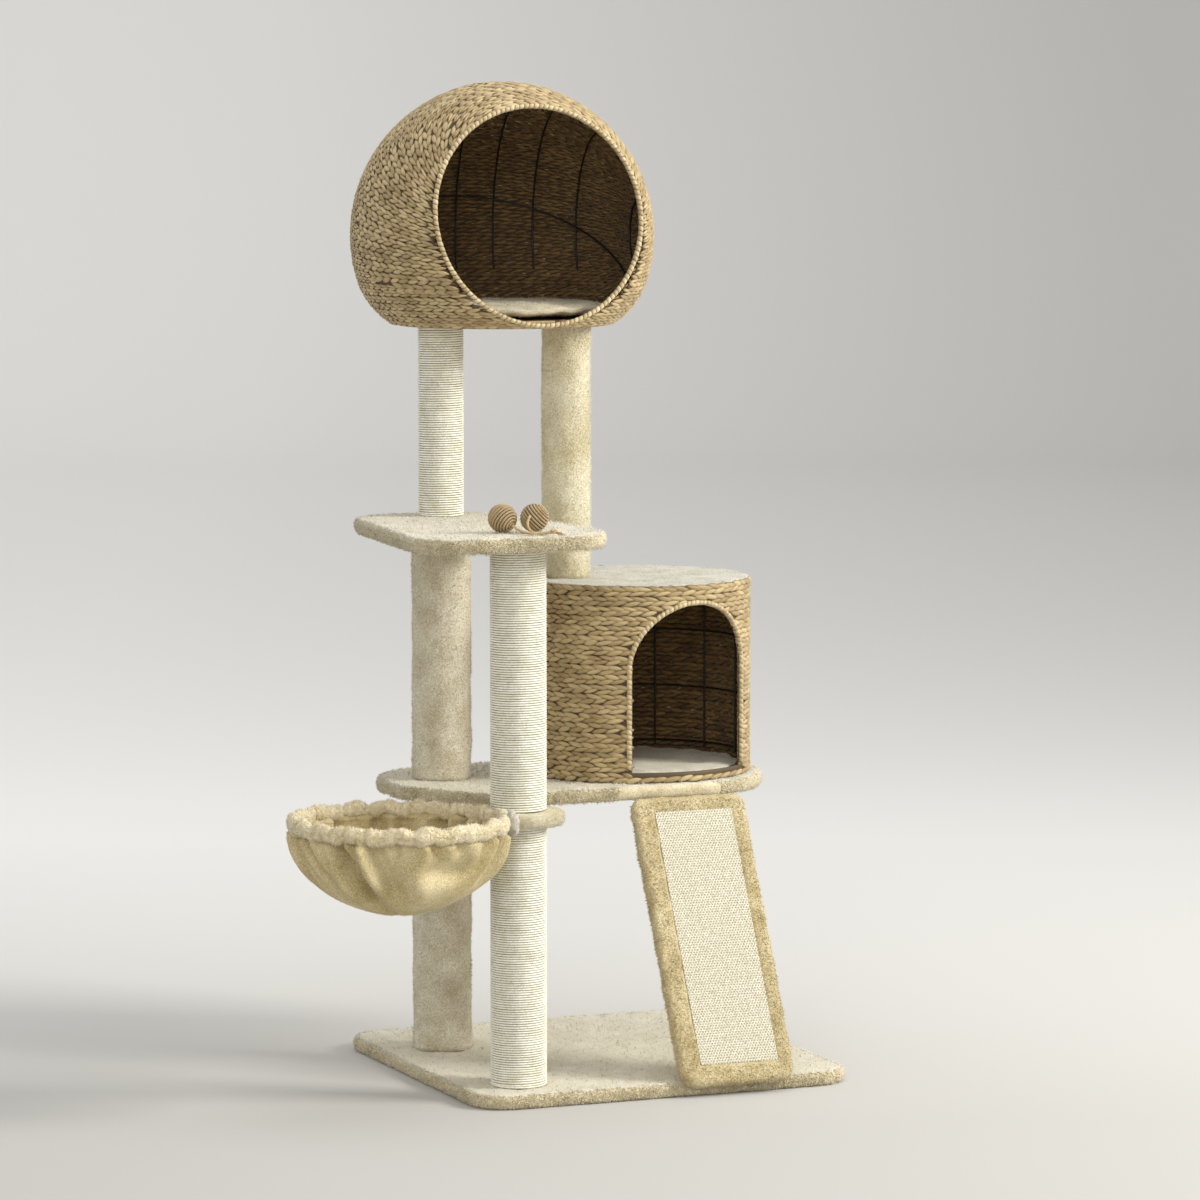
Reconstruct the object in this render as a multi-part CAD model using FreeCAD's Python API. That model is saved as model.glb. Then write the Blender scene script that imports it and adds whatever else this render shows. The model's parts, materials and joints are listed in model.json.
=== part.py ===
"""Cat tree: base, stacked posts, platform, shelf, woven condo, woven globe, ramp, hammock, toy.

Frame: millimetres, +Z up, +X along the front edge to the right, -Y to the front.
The origin is the centre of the base's underside.
"""
import FreeCAD, Part
import math
import os

from FreeCAD import Vector, Rotation, Placement

os.makedirs("parts", exist_ok=True)

# ---------------------------------------------------------------- driving dimensions
BASE_W, BASE_D = 640.0, 632.0          # footprint, left-right and front-back
BOARD_T = 24.0                         # covered board: particle board and plush
PLUSH_T = 4.0                          # plush cloth and its backing
EDGE_R = 10.0                          # rounding of a covered board's edge
CORNER_R = 60.0                        # plan radius of the base's corners

REAR_POST = (-220.0, 122.0)            # stands on the base, carries platform, shelf and globe
FRONT_POST = (-226.0, -230.0)          # stands on the base, carries hammock and shelf
RIGHT_POST = (0.0, 124.0)              # stands on the condo, carries the globe
REAR_R, FRONT_R, RIGHT_R, SLIM_R = 48.0, 45.0, 40.0, 37.5   # outer radii with their covers
TUBE_WALL = 6.0                        # spiral-wound cardboard
PLUG_T = 18.0                          # wooden disc in each end of a tube
STUD_R, STUD_HOLE_R = 4.0, 4.2         # M8 threaded rod and its holes
HEAD_R, HEAD_H = 7.5, 5.0              # bolt head
WASHER_R, WASHER_T = 11.0, 1.5

PLATFORM_TOP = 469.0
SHELF_TOP = 898.0
CONDO_TOP = 789.0
GLOBE_BASE = 1205.0

CONDO_C = (112.0, 106.0)               # axis of the woven cylinder
CONDO_R, WEAVE_T = 193.0, 9.0          # outside radius and thickness of the woven wall
DOOR_ANGLE = -80.0                     # direction in which the condo's door faces, degrees
DOOR_W, DOOR_SILL, DOOR_CROWN = 206.0, 489.0, 755.0
BINDING_W = 12.0                       # wrapped edge of a door
WIRE_R = 1.5                           # wire of both baskets

GLOBE_C = (-112.0, 124.0, 1350.0)      # centre of the woven ball
GLOBE_R = 247.0
GLOBE_FOOT_R = 176.0                   # radius of its flat base
GLOBE_DOOR_R, GLOBE_DOOR_TILT = 176.0, 9.5
GLOBE_DOOR_C = (0.0, -160.0, 35.0)     # centre of the door ring from the ball's centre

DISC_R, DISC_SPACE = 73.5, (437.0, 461.0)   # clamp disc between the front post's sections
HOOP_R, HOOP_WIRE_R, HOOP_Z = 164.0, 3.0, 449.0
HOOP_ANGLE, HOOP_REACH = 190.0, 216.5  # direction and distance of the hoop from the post
BOWL_A, BOWL_DEPTH, CLOTH_T = 163.0, 142.0, 5.0

RAMP_X, RAMP_W, RAMP_L = 109.0, 196.0, 484.0
RAMP_SLOPE = 63.8                      # degrees above the floor
RAMP_TOE = (-319.4, 10.4)              # y and z of the toe's lower corner
HINGE_OFFSETS, HINGE_W = (-60.0, 60.0), 36.0
HINGE_PIN_R, KNUCKLE_R, LEAF_T = 1.5, 3.2, 1.5

BALL_R, CORD_R = 23.0, 2.0
GAP = 0.3                              # clearance between bodies that touch in use

BASE_TOP = BOARD_T


# ---------------------------------------------------------------- helpers
def save(name, shape):
    """Write one sub-part's STEP file."""
    shape.exportStep("parts/%s.step" % name)
    print(name, "solids", len(shape.Solids), "volume", round(shape.Volume), shape.isValid())


def group(solids):
    """Several separate solids kept in one sub-part."""
    return Part.makeCompound(solids)


def cylinder(x, y, low, high, radius):
    """Upright solid cylinder between two heights."""
    return Part.makeCylinder(radius, high - low, Vector(x, y, low))


def ring(x, y, low, high, outer, inner):
    """Upright tube between two heights."""
    return cylinder(x, y, low, high, outer).cut(cylinder(x, y, low - 1, high + 1, inner))


def rounded_wire(corners, z=0.0):
    """Closed outline through (x, y, radius) corners, each rounded by a tangent arc."""
    count = len(corners)
    edges, starts, ends, mids = [], [], [], []
    for i, (x, y, r) in enumerate(corners):
        here = Vector(x, y, z)
        before = Vector(corners[i - 1][0], corners[i - 1][1], z)
        after = Vector(corners[(i + 1) % count][0], corners[(i + 1) % count][1], z)
        back = (before - here).normalize()
        on = (after - here).normalize()
        half = back.getAngle(on) / 2.0
        reach = r / math.tan(half)
        middle = (back + on).normalize()
        starts.append(here + back * reach)
        ends.append(here + on * reach)
        mids.append(here + middle * (r / math.sin(half) - r))
    for i in range(count):
        edges.append(Part.Arc(starts[i], mids[i], ends[i]).toShape())
        edges.append(Part.LineSegment(ends[i], starts[(i + 1) % count]).toShape())
    return Part.Wire(edges)


def inset(corners, by):
    """The same outline drawn in by a distance: straight sides move in, radii shrink."""
    count = len(corners)
    lines = []
    for i in range(count):
        (x0, y0, _), (x1, y1, _) = corners[i], corners[(i + 1) % count]
        length = math.hypot(x1 - x0, y1 - y0)
        nx, ny = -(y1 - y0) / length, (x1 - x0) / length
        lines.append((x0 + nx * by, y0 + ny * by, x1 - x0, y1 - y0))
    moved = []
    for i in range(count):
        ax, ay, adx, ady = lines[i - 1]
        bx, by_, bdx, bdy = lines[i]
        k = ((bx - ax) * bdy - (by_ - ay) * bdx) / (adx * bdy - ady * bdx)
        moved.append((ax + k * adx, ay + k * ady, max(corners[i][2] - by, 3.0)))
    return moved


def slab(corners, low, high, edge_r=0.0):
    """Board of the given outline, its top and bottom edges rounded by edge_r."""
    body = Part.Face(rounded_wire(corners, low)).extrude(Vector(0, 0, high - low))
    if edge_r:
        flat = [e for e in body.Edges if abs(e.BoundBox.ZLength) < 0.01]
        body = body.makeFillet(edge_r, flat)
    return body


def covered_board(corners, top, holes=()):
    """Board and the plush around it; holes are (x, y, radius) drilled through both."""
    low = top - BOARD_T
    board = slab(inset(corners, PLUSH_T), low + PLUSH_T, top - PLUSH_T)
    plush = slab(corners, low, top, EDGE_R).cut(board)
    for x, y, radius in holes:
        drill = cylinder(x, y, low - 1, top + 1, radius)
        board, plush = board.cut(drill), plush.cut(drill)
    return board, plush


def bolt(x, y, seat, tip):
    """Bolt from a washer's face at height seat to its tip; the head is away from the tip."""
    away = 1.0 if seat > tip else -1.0
    head_low = seat if away > 0 else seat - HEAD_H
    shank = cylinder(x, y, min(seat, tip), max(seat, tip), STUD_R)
    return shank.fuse(cylinder(x, y, head_low, head_low + HEAD_H, HEAD_R)).removeSplitter()


def wood_screw(point, direction, length, radius=1.8, head=3.6):
    """Countersunk screw: a conical head whose flat top is at point, and its shank."""
    cone = Part.makeCone(head, radius, head - radius, point, direction)
    shank = Part.makeCylinder(radius, length, point, direction)
    return cone.fuse(shank).removeSplitter()


def cut_all(shape, tools):
    """Shape with every tool removed."""
    return shape.cut(group(tools)) if tools else shape


# ---------------------------------------------------------------- base
half_w, half_d = BASE_W / 2, BASE_D / 2
base_outline = [(-half_w, -half_d, CORNER_R), (half_w, -half_d, CORNER_R),
                (half_w, half_d, CORNER_R), (-half_w, half_d, CORNER_R)]
base_board, base_plush = covered_board(base_outline, BASE_TOP)
POCKET_Z = 12.0                        # depth at which the bolt's washer seats in the base
for x, y in (REAR_POST, FRONT_POST):
    pocket = cylinder(x, y, -1, POCKET_Z, WASHER_R + 1)
    through = cylinder(x, y, -1, BASE_TOP + 1, STUD_HOLE_R)
    base_board = base_board.cut(pocket).cut(through)
    base_plush = base_plush.cut(pocket).cut(through)
save("base_board", base_board)
save("base_plush", base_plush)


# ---------------------------------------------------------------- posts
SECTIONS = [  # name, place, low, high, outer radius, cover name, cover thickness
    ("rear_post_lower", REAR_POST, BASE_TOP, PLATFORM_TOP - BOARD_T, REAR_R, "plush", 4.0),
    ("rear_post_middle", REAR_POST, PLATFORM_TOP, SHELF_TOP - BOARD_T, REAR_R, "plush", 4.0),
    ("rear_post_upper", REAR_POST, SHELF_TOP, GLOBE_BASE, SLIM_R, "rope", 4.0),
    ("front_post_lower", FRONT_POST, BASE_TOP, DISC_SPACE[0], FRONT_R, "rope", 4.0),
    ("front_post_upper", FRONT_POST, DISC_SPACE[1], SHELF_TOP - BOARD_T, FRONT_R, "rope", 4.0),
    ("right_post", RIGHT_POST, CONDO_TOP, GLOBE_BASE, RIGHT_R, "plush", 4.0),
]
plugs = []
for name, (x, y), low, high, outer, cover, thick in SECTIONS:
    tube_r = outer - thick
    bore_r = tube_r - TUBE_WALL
    save(name + "_tube", ring(x, y, low, high, tube_r, bore_r))
    save(name + "_" + cover, ring(x, y, low, high, outer, tube_r))
    for z in (low, high - PLUG_T):
        plugs.append(ring(x, y, z, z + PLUG_T, bore_r, STUD_R))
save("post_end_plugs", group(plugs))

STUD_REACH = PLUG_T - 1.0
studs = []
for (x, y), low, high in ((REAR_POST, PLATFORM_TOP - BOARD_T, PLATFORM_TOP),
                          (REAR_POST, SHELF_TOP - BOARD_T, SHELF_TOP),
                          (FRONT_POST, *DISC_SPACE)):
    studs.append(cylinder(x, y, low - STUD_REACH, high + STUD_REACH, STUD_R))
save("post_studs", group(studs))


# ---------------------------------------------------------------- platform and shelf
platform_outline = [(-212, -100, 28), (318, -100, 195), (318, 326, 195), (-318, 262, 145),
                    (-318, 52, 70)]
shelf_outline = [(-424, -335, 75), (-88, -335, 105), (-88, -110, 130), (-150, 182, 55),
                 (-364, 182, 100)]
SHELF_SEAT = SHELF_TOP - PLUSH_T - HEAD_H - WASHER_T
condo_top_seat = CONDO_TOP - 26.0      # underside of the condo's top board
GLOBE_FLOOR_T = 12.0
globe_seat = GLOBE_BASE + GLOBE_FLOOR_T
SEATS = [  # place, washer's face, tip
    (REAR_POST, POCKET_Z, BASE_TOP + STUD_REACH),
    (FRONT_POST, POCKET_Z, BASE_TOP + STUD_REACH),
    (FRONT_POST, SHELF_SEAT, SHELF_TOP - BOARD_T - STUD_REACH),
    (RIGHT_POST, condo_top_seat, CONDO_TOP + STUD_REACH),
    (REAR_POST, globe_seat, GLOBE_BASE - STUD_REACH),
    (RIGHT_POST, globe_seat, GLOBE_BASE - STUD_REACH),
]
bolts, washers = [], []
for (x, y), seat, tip in SEATS:
    away = 1.0 if seat > tip else -1.0
    washer_low = min(seat, seat + away * WASHER_T)
    washers.append(ring(x, y, washer_low, washer_low + WASHER_T, WASHER_R, STUD_HOLE_R))
    bolts.append(bolt(x, y, seat + away * WASHER_T, tip))
save("post_bolts", group(bolts))
save("post_washers", group(washers))

condo_screw_places = []
for step in range(4):
    turn = math.radians(45 + 90 * step)
    condo_screw_places.append((CONDO_C[0] + 140 * math.cos(turn),
                               CONDO_C[1] + 140 * math.sin(turn)))
CONDO_FLOOR_T = 6.0
platform_low = PLATFORM_TOP - BOARD_T
condo_screws = []
for x, y in condo_screw_places:
    condo_screws.append(wood_screw(Vector(x, y, platform_low), Vector(0, 0, 1),
                                   BOARD_T + CONDO_FLOOR_T - 1.0))
save("condo_screws", group(condo_screws))

hinge_screws_platform = []
for offset in HINGE_OFFSETS:
    for side in (-11.0, 11.0):
        hinge_screws_platform.append(wood_screw(
            Vector(RAMP_X + offset + side, -80.0, platform_low - LEAF_T), Vector(0, 0, 1), 16.0))
save("hinge_screws_platform", group(hinge_screws_platform))

platform_board, platform_plush = covered_board(
    platform_outline, PLATFORM_TOP, [(REAR_POST[0], REAR_POST[1], STUD_HOLE_R)])
fixings = condo_screws + hinge_screws_platform
save("platform_board", cut_all(platform_board, fixings))
save("platform_plush", cut_all(platform_plush, fixings))

shelf_board, shelf_plush = covered_board(
    shelf_outline, SHELF_TOP, [(REAR_POST[0], REAR_POST[1], STUD_HOLE_R)])
shelf_hole = cylinder(*FRONT_POST, SHELF_TOP - BOARD_T - 1, SHELF_SEAT + 1, STUD_HOLE_R)
shelf_pocket = cylinder(*FRONT_POST, SHELF_SEAT, SHELF_TOP - PLUSH_T, WASHER_R + 1)
shelf_board = shelf_board.cut(shelf_pocket).cut(shelf_hole)
save("shelf_board", shelf_board)
save("shelf_plush", shelf_plush.cut(shelf_hole))


# ---------------------------------------------------------------- condo
cx, cy = CONDO_C
door_turn = Rotation(Vector(0, 0, 1), DOOR_ANGLE + 90)


def arch_prism(grow, length=140.0):
    """Upright round-headed arch, pushed out from the condo's axis through its wall."""
    half = DOOR_W / 2 + grow
    low, spring = DOOR_SILL - grow, DOOR_CROWN - DOOR_W / 2
    a, b = Vector(-half, -110, low), Vector(half, -110, low)
    c, d = Vector(half, -110, spring), Vector(-half, -110, spring)
    crown = Vector(0, -110, spring + half)
    outline = Part.Wire([Part.LineSegment(a, b).toShape(), Part.LineSegment(b, c).toShape(),
                         Part.Arc(c, crown, d).toShape(), Part.LineSegment(d, a).toShape()])
    prism = Part.Face(outline).extrude(Vector(0, -length, 0))
    prism.Placement = Placement(Vector(cx, cy, 0), door_turn)
    return prism


door_open, door_edge = arch_prism(0.0), arch_prism(BINDING_W)
woven_wall = ring(cx, cy, PLATFORM_TOP, CONDO_TOP, CONDO_R, CONDO_R - WEAVE_T).cut(door_edge)
save("condo_woven_wall", woven_wall)
edge_band = ring(cx, cy, PLATFORM_TOP, CONDO_TOP, CONDO_R + 3, CONDO_R - WEAVE_T - 1)
save("condo_door_binding", edge_band.common(door_edge).cut(door_open))

frame_r = CONDO_R - WEAVE_T - 2 * WIRE_R - 0.6
cage = []
for z in (PLATFORM_TOP + 28, PLATFORM_TOP + 120, PLATFORM_TOP + 215, PLATFORM_TOP + 304):
    hoop = Part.makeTorus(frame_r, WIRE_R, Vector(cx, cy, z))
    cage.extend(hoop.cut(arch_prism(BINDING_W + 1)).Solids)
upright_r = frame_r - 2 * WIRE_R - 0.1  # uprights stand inside the hoops, welded where they cross
for step in range(10):
    turn = math.radians(DOOR_ANGLE + 45 + 30 * step)
    cage.append(cylinder(cx + upright_r * math.cos(turn), cy + upright_r * math.sin(turn),
                         PLATFORM_TOP + 20, condo_top_seat - 2, WIRE_R))
save("condo_wire_frame", group(cage))

save("condo_floor_board", cut_all(
    cylinder(cx, cy, PLATFORM_TOP, PLATFORM_TOP + CONDO_FLOOR_T, frame_r - 7), condo_screws))
floor_pad = cylinder(cx, cy, PLATFORM_TOP + CONDO_FLOOR_T, PLATFORM_TOP + 18, frame_r - 7)
save("condo_floor_pad", floor_pad.makeFillet(5.0, [floor_pad.Edges[0]]))

top_r = frame_r - 3.0
top_hole = cylinder(*RIGHT_POST, condo_top_seat - 1, CONDO_TOP + 1, STUD_HOLE_R)
top_board = cylinder(cx, cy, condo_top_seat, condo_top_seat + 18, top_r - 3).cut(top_hole)
top_cover = cylinder(cx, cy, condo_top_seat, CONDO_TOP, top_r)
top_cover = top_cover.cut(cylinder(cx, cy, condo_top_seat - 1, condo_top_seat + 18, top_r - 3))
save("condo_top_board", top_board)
save("condo_top_plush", top_cover.cut(top_hole))


# ---------------------------------------------------------------- globe
gx, gy, gz = GLOBE_C


def globe_body(drop):
    """Ball with a tucked-in lower part and a flat base, drawn in by drop all round."""
    r = GLOBE_R - drop
    turn_z = -60.0
    turn_r = math.sqrt(r * r - turn_z * turn_z)
    foot_z, foot_r = GLOBE_BASE - gz, GLOBE_FOOT_R - drop
    run_r, run_z = turn_r - foot_r, turn_z - foot_z
    bulge = 0.11
    knee = Vector(foot_r + run_r / 2 + run_z * bulge, 0, foot_z + run_z / 2 - run_r * bulge)
    shoulder = Vector(turn_r, 0, turn_z)
    upper = Part.Arc(Vector(0, 0, r), Vector(r * math.sin(0.9), 0, r * math.cos(0.9)), shoulder)
    lower = Part.Arc(shoulder, knee, Vector(foot_r, 0, foot_z))
    foot = Part.LineSegment(Vector(foot_r, 0, foot_z), Vector(0, 0, foot_z))
    axis = Part.LineSegment(Vector(0, 0, foot_z), Vector(0, 0, r))
    outline = Part.Wire([s.toShape() for s in (upper, lower, foot, axis)])
    body = Part.Face(outline).revolve(Vector(0, 0, 0), Vector(0, 0, 1), 360)
    body.translate(Vector(gx, gy, gz))
    return body


tilt = math.radians(GLOBE_DOOR_TILT)
door_normal = Vector(0, -math.cos(tilt), math.sin(tilt))
door_centre = Vector(*GLOBE_C) + Vector(*GLOBE_DOOR_C)
GLOBE_BINDING_R = 7.0


def beyond_door(setback):
    """Everything in front of the door's plane, the plane set back by a distance."""
    return Part.makeCylinder(400, 300, door_centre - door_normal * setback, door_normal)


globe_floor_r = GLOBE_FOOT_R - 6.0
shell = globe_body(0.0).cut(globe_body(WEAVE_T)).cut(beyond_door(GLOBE_BINDING_R + 0.5))
shell = shell.cut(cylinder(gx, gy, GLOBE_BASE - 1, GLOBE_BASE + GLOBE_FLOOR_T + 0.2,
                           globe_floor_r + 0.2))
save("globe_woven_shell", shell)
binding = Part.makeTorus(GLOBE_DOOR_R, GLOBE_BINDING_R, door_centre, door_normal)
save("globe_door_binding", binding)

floor_board = cylinder(gx, gy, GLOBE_BASE, GLOBE_BASE + GLOBE_FLOOR_T, globe_floor_r)
for x, y in (REAR_POST, RIGHT_POST):
    floor_board = floor_board.cut(cylinder(x, y, GLOBE_BASE - 1, globe_seat + 1, STUD_HOLE_R))
save("globe_floor_board", floor_board)

rib_r = GLOBE_R - WEAVE_T - WIRE_R - 0.8
RIB_COUNT, RIB_PITCH, FIRST_RIB = 8, 63.0, -212.0
RIB_LOW = -62.0                        # height of the ribs' lower ends from the ball's centre
ball = Vector(*GLOBE_C)
across = Rotation(Vector(0, 0, 1), -8.0).multVec(Vector(1, 0, 0))
door_gap = (door_centre - ball).dot(door_normal) - GLOBE_BINDING_R - 2


def wire_arc(centre, first, second, radius, start, end):
    """Round wire along an arc; angles in radians from direction first towards second."""
    at = centre + first * (radius * math.cos(start)) + second * (radius * math.sin(start))
    along = second * math.cos(start) - first * math.sin(start)
    section = Part.Face(Part.Wire([Part.Circle(at, along, WIRE_R).toShape()]))
    return section.revolve(centre, first.cross(second), math.degrees(end - start))


wires = []
back, up = Vector(0, 0, 1).cross(across), Vector(0, 0, 1)
for step in range(RIB_COUNT):
    offset = FIRST_RIB + RIB_PITCH * step
    radius = math.sqrt(rib_r ** 2 - offset ** 2)
    start = math.asin(max(RIB_LOW / radius, -0.97))
    level = door_gap - (across * offset).dot(door_normal)
    a, b = back.dot(door_normal) * radius, up.dot(door_normal) * radius
    end = math.pi - start
    if level < math.hypot(a, b):
        end = min(end, math.atan2(b, a) - math.acos(level / math.hypot(a, b)))
    wires.append(wire_arc(ball + across * offset, back, up, radius, start, end))
belt_r = rib_r - 2 * WIRE_R - 0.1      # the belt lies inside the ribs, welded where they cross
BELT_DROP = 64.0                       # distance of the belt's plane from the ball's centre
belt_axis = Vector(0, -0.51, 0.86).normalize()
right = Vector(1, 0, 0)
wires.append(wire_arc(ball - belt_axis * BELT_DROP, right, belt_axis.cross(right),
                      math.sqrt(belt_r ** 2 - BELT_DROP ** 2),
                      math.radians(-12), math.radians(192)))
save("globe_wire_frame", group(wires))

CUSHION_R, CUSHION_T = 172.0, 27.0
cushion_low = globe_seat + WASHER_T + HEAD_H + GAP
cushion = cylinder(gx, gy + 8.0, cushion_low, cushion_low + CUSHION_T, CUSHION_R)
cushion = cushion.makeFillet(11.0, [e for e in cushion.Edges if e.BoundBox.ZLength < 0.01])
cushion = cushion.cut(beyond_door(GLOBE_BINDING_R + 4))
save("globe_cushion", cushion)


# ---------------------------------------------------------------- hammock
px, py = FRONT_POST
disc_low, disc_top = DISC_SPACE[0] + GAP, DISC_SPACE[1] - GAP
turn = math.radians(HOOP_ANGLE)
outward = Vector(math.cos(turn), math.sin(turn), 0)
hoop_centre = Vector(px, py, HOOP_Z) + outward * HOOP_REACH
HEM_R = 6.3                            # cloth rolled round the hoop
LEG_SIDE, LEG_INNER = 52.0, 22.0       # the hoop's two legs: distance aside, reach into the disc

leg_outer = HOOP_REACH - math.sqrt(HOOP_R ** 2 - LEG_SIDE ** 2)
legs = []
for side in (-LEG_SIDE, LEG_SIDE):
    leg = Part.makeCylinder(HOOP_WIRE_R, leg_outer - LEG_INNER, Vector(LEG_INNER, side, 0),
                            Vector(1, 0, 0))
    leg.Placement = Placement(Vector(px, py, HOOP_Z), Rotation(Vector(0, 0, 1), HOOP_ANGLE))
    legs.append(leg)
hoop = Part.makeTorus(HOOP_R, HOOP_WIRE_R, hoop_centre).fuse(legs)
save("hammock_hoop", hoop)

disc_bore = cylinder(px, py, disc_low - 1, disc_top + 1, STUD_R + 0.08)
hoop_side = cylinder(hoop_centre.x, hoop_centre.y, disc_low - 1, disc_top + 1,
                     HOOP_R + HEM_R + GAP)
disc = cylinder(px, py, disc_low, disc_top, DISC_R)
disc = disc.makeFillet(EDGE_R, [e for e in disc.Edges if e.BoundBox.ZLength < 0.01])
core = cylinder(px, py, disc_low + PLUSH_T, disc_top - PLUSH_T, DISC_R - PLUSH_T)
core = core.cut(cylinder(hoop_centre.x, hoop_centre.y, disc_low, disc_top,
                         HOOP_R + HEM_R + GAP + PLUSH_T))
for name, shape in (("clamp_disc_board", core), ("clamp_disc_plush", disc.cut(hoop_side).cut(core))):
    save(name, shape.cut(disc_bore).cut(group(legs)))


def bowl_half(drop):
    """Half section of the bag, drawn in by drop: a half oval below a short upright rim."""
    a, depth, rim = BOWL_A - drop, BOWL_DEPTH - drop, 14.0
    points = [Vector(0, 0, rim), Vector(a, 0, rim)]
    for step in range(9):
        t = math.radians(10 * step)
        points.append(Vector(a * math.cos(t), 0, -depth * math.sin(t)))
    points += [Vector(0, 0, points[-1].z), Vector(0, 0, rim)]
    return Part.Face(Part.makePolygon(points))


hem_circle = Part.Circle(Vector(HOOP_R, 0, 0), Vector(0, 1, 0), HEM_R)
hem = Part.Face(Part.Wire([hem_circle.toShape()]))
section = bowl_half(0.0).cut(bowl_half(CLOTH_T)).fuse(hem).removeSplitter()
bag = section.Faces[0].revolve(Vector(0, 0, 0), Vector(0, 0, 1), 360)
bag = bag.cut(Part.makeTorus(HOOP_R, HOOP_WIRE_R + 0.02))
bag.Placement = Placement(hoop_centre, Rotation(Vector(0, 0, 1), HOOP_ANGLE + 180))
save("hammock_bowl", bag.cut(group(legs)))

TIE_R, TIE_TURN = 7.5, -0.57           # tuft of the drawcord, and its angle from the post's side
tie_reach = HOOP_R + HEM_R + TIE_R + GAP
tie_at = hoop_centre + Vector(tie_reach * math.cos(turn + math.pi + TIE_TURN),
                              tie_reach * math.sin(turn + math.pi + TIE_TURN), 0)
save("hammock_tie", Part.makeSphere(TIE_R, tie_at))


# ---------------------------------------------------------------- ramp
# Drawn flat: x across, y up the slope, z out of the walking face, origin at the toe.
ramp_place = Placement(Vector(RAMP_X, RAMP_TOE[0], RAMP_TOE[1]),
                       Rotation(Vector(1, 0, 0), RAMP_SLOPE))
half_ramp = RAMP_W / 2
ramp_outline = [(-half_ramp, 0, 30), (half_ramp, 0, 30),
                (half_ramp, RAMP_L, 18), (-half_ramp, RAMP_L, 18)]
MAT_LEFT, MAT_RIGHT, MAT_T = 35.0, 26.0, 3.0
mat_outline = [(-half_ramp + MAT_LEFT, 33, 6), (half_ramp - MAT_RIGHT, 33, 6),
               (half_ramp - MAT_RIGHT, RAMP_L - 26, 6), (-half_ramp + MAT_LEFT, RAMP_L - 26, 6)]
mat_low = BOARD_T - PLUSH_T
ramp_screws = []
for offset in HINGE_OFFSETS:
    for side in (-11.0, 11.0):
        ramp_screws.append(wood_screw(Vector(offset + side, RAMP_L - 26, -LEAF_T),
                                      Vector(0, 0, 1), 15.0))
ramp_board = slab(inset(ramp_outline, PLUSH_T), PLUSH_T, BOARD_T - PLUSH_T)
ramp_cover = slab(ramp_outline, 0, BOARD_T, 9.0).cut(ramp_board)
ramp_cover = ramp_cover.cut(slab(mat_outline, mat_low, BOARD_T + 1))
mat = slab(inset(mat_outline, 0.3), mat_low, mat_low + MAT_T)

pin_y, pin_z = RAMP_L - 4.2, -3.5
moving, pins = [], []
for offset in HINGE_OFFSETS:
    leaf = Part.makeBox(HINGE_W, 30, LEAF_T, Vector(offset - HINGE_W / 2, RAMP_L - 38, -LEAF_T))
    web = Part.makeBox(15.2, 7, 4.2, Vector(offset - 7.6, RAMP_L - 10, pin_z - 1.2))
    barrel = Part.makeCylinder(KNUCKLE_R, 15.2, Vector(offset - 7.6, pin_y, pin_z), Vector(1, 0, 0))
    bore = Part.makeCylinder(HINGE_PIN_R + 0.05, 60, Vector(offset - 30, pin_y, pin_z),
                             Vector(1, 0, 0))
    pins.append(Part.makeCylinder(HINGE_PIN_R, HINGE_W + 1,
                                  Vector(offset - HINGE_W / 2 - 0.5, pin_y, pin_z),
                                  Vector(1, 0, 0)))
    moving.append(leaf.fuse([web, barrel]).cut(bore).cut(group(ramp_screws)).removeSplitter())

for name, shape in (("ramp_board", cut_all(ramp_board, ramp_screws)),
                    ("ramp_plush", cut_all(ramp_cover, ramp_screws)),
                    ("ramp_sisal_mat", mat),
                    ("ramp_hinge_moving_leaves", group(moving)),
                    ("ramp_hinge_pins", group(pins)),
                    ("hinge_screws_ramp", group(ramp_screws))):
    placed = shape.copy()
    placed.Placement = ramp_place.multiply(placed.Placement)
    save(name, placed)

pin_at = ramp_place.multVec(Vector(0, pin_y, pin_z))
print("ramp hinge axis at y", round(pin_at.y, 3), "z", round(pin_at.z, 3))
fixed = []
for offset in HINGE_OFFSETS:
    mid = RAMP_X + offset
    leaf_low = platform_low - LEAF_T
    leaf = Part.makeBox(HINGE_W, 30, LEAF_T, Vector(mid - HINGE_W / 2, -96, leaf_low))
    down = Part.makeBox(HINGE_W, 2, platform_low - pin_at.z + 2.4,
                        Vector(mid - HINGE_W / 2, -96, pin_at.z - 2.4))
    back = Part.makeBox(HINGE_W, -96 - pin_at.y, 1.6,
                        Vector(mid - HINGE_W / 2, pin_at.y, pin_at.z - 3.0))
    barrel = Part.makeCylinder(KNUCKLE_R, HINGE_W, Vector(mid - HINGE_W / 2, pin_at.y, pin_at.z),
                               Vector(1, 0, 0))
    middle = Part.makeCylinder(KNUCKLE_R + 1.2, 16.0, Vector(mid - 8, pin_at.y, pin_at.z),
                               Vector(1, 0, 0))
    bore = Part.makeCylinder(HINGE_PIN_R, 60, Vector(mid - 30, pin_at.y, pin_at.z),
                             Vector(1, 0, 0))
    body = leaf.fuse([down, back, barrel]).cut(middle).cut(bore)
    fixed.append(body.cut(group(hinge_screws_platform)).removeSplitter())
save("ramp_hinge_fixed_leaves", group(fixed))


# ---------------------------------------------------------------- toy
rest_z = SHELF_TOP + GAP
ball_centres = [Vector(-258, -245, rest_z + BALL_R), Vector(-208, -255, rest_z + BALL_R)]
WRAP_T = 4.0
cores = [Part.makeSphere(BALL_R - WRAP_T, c) for c in ball_centres]
wraps = [Part.makeSphere(BALL_R, c).cut(Part.makeSphere(BALL_R - WRAP_T, c))
         for c in ball_centres]
save("toy_ball_cores", group(cores))
save("toy_ball_wraps", group(wraps))


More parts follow.
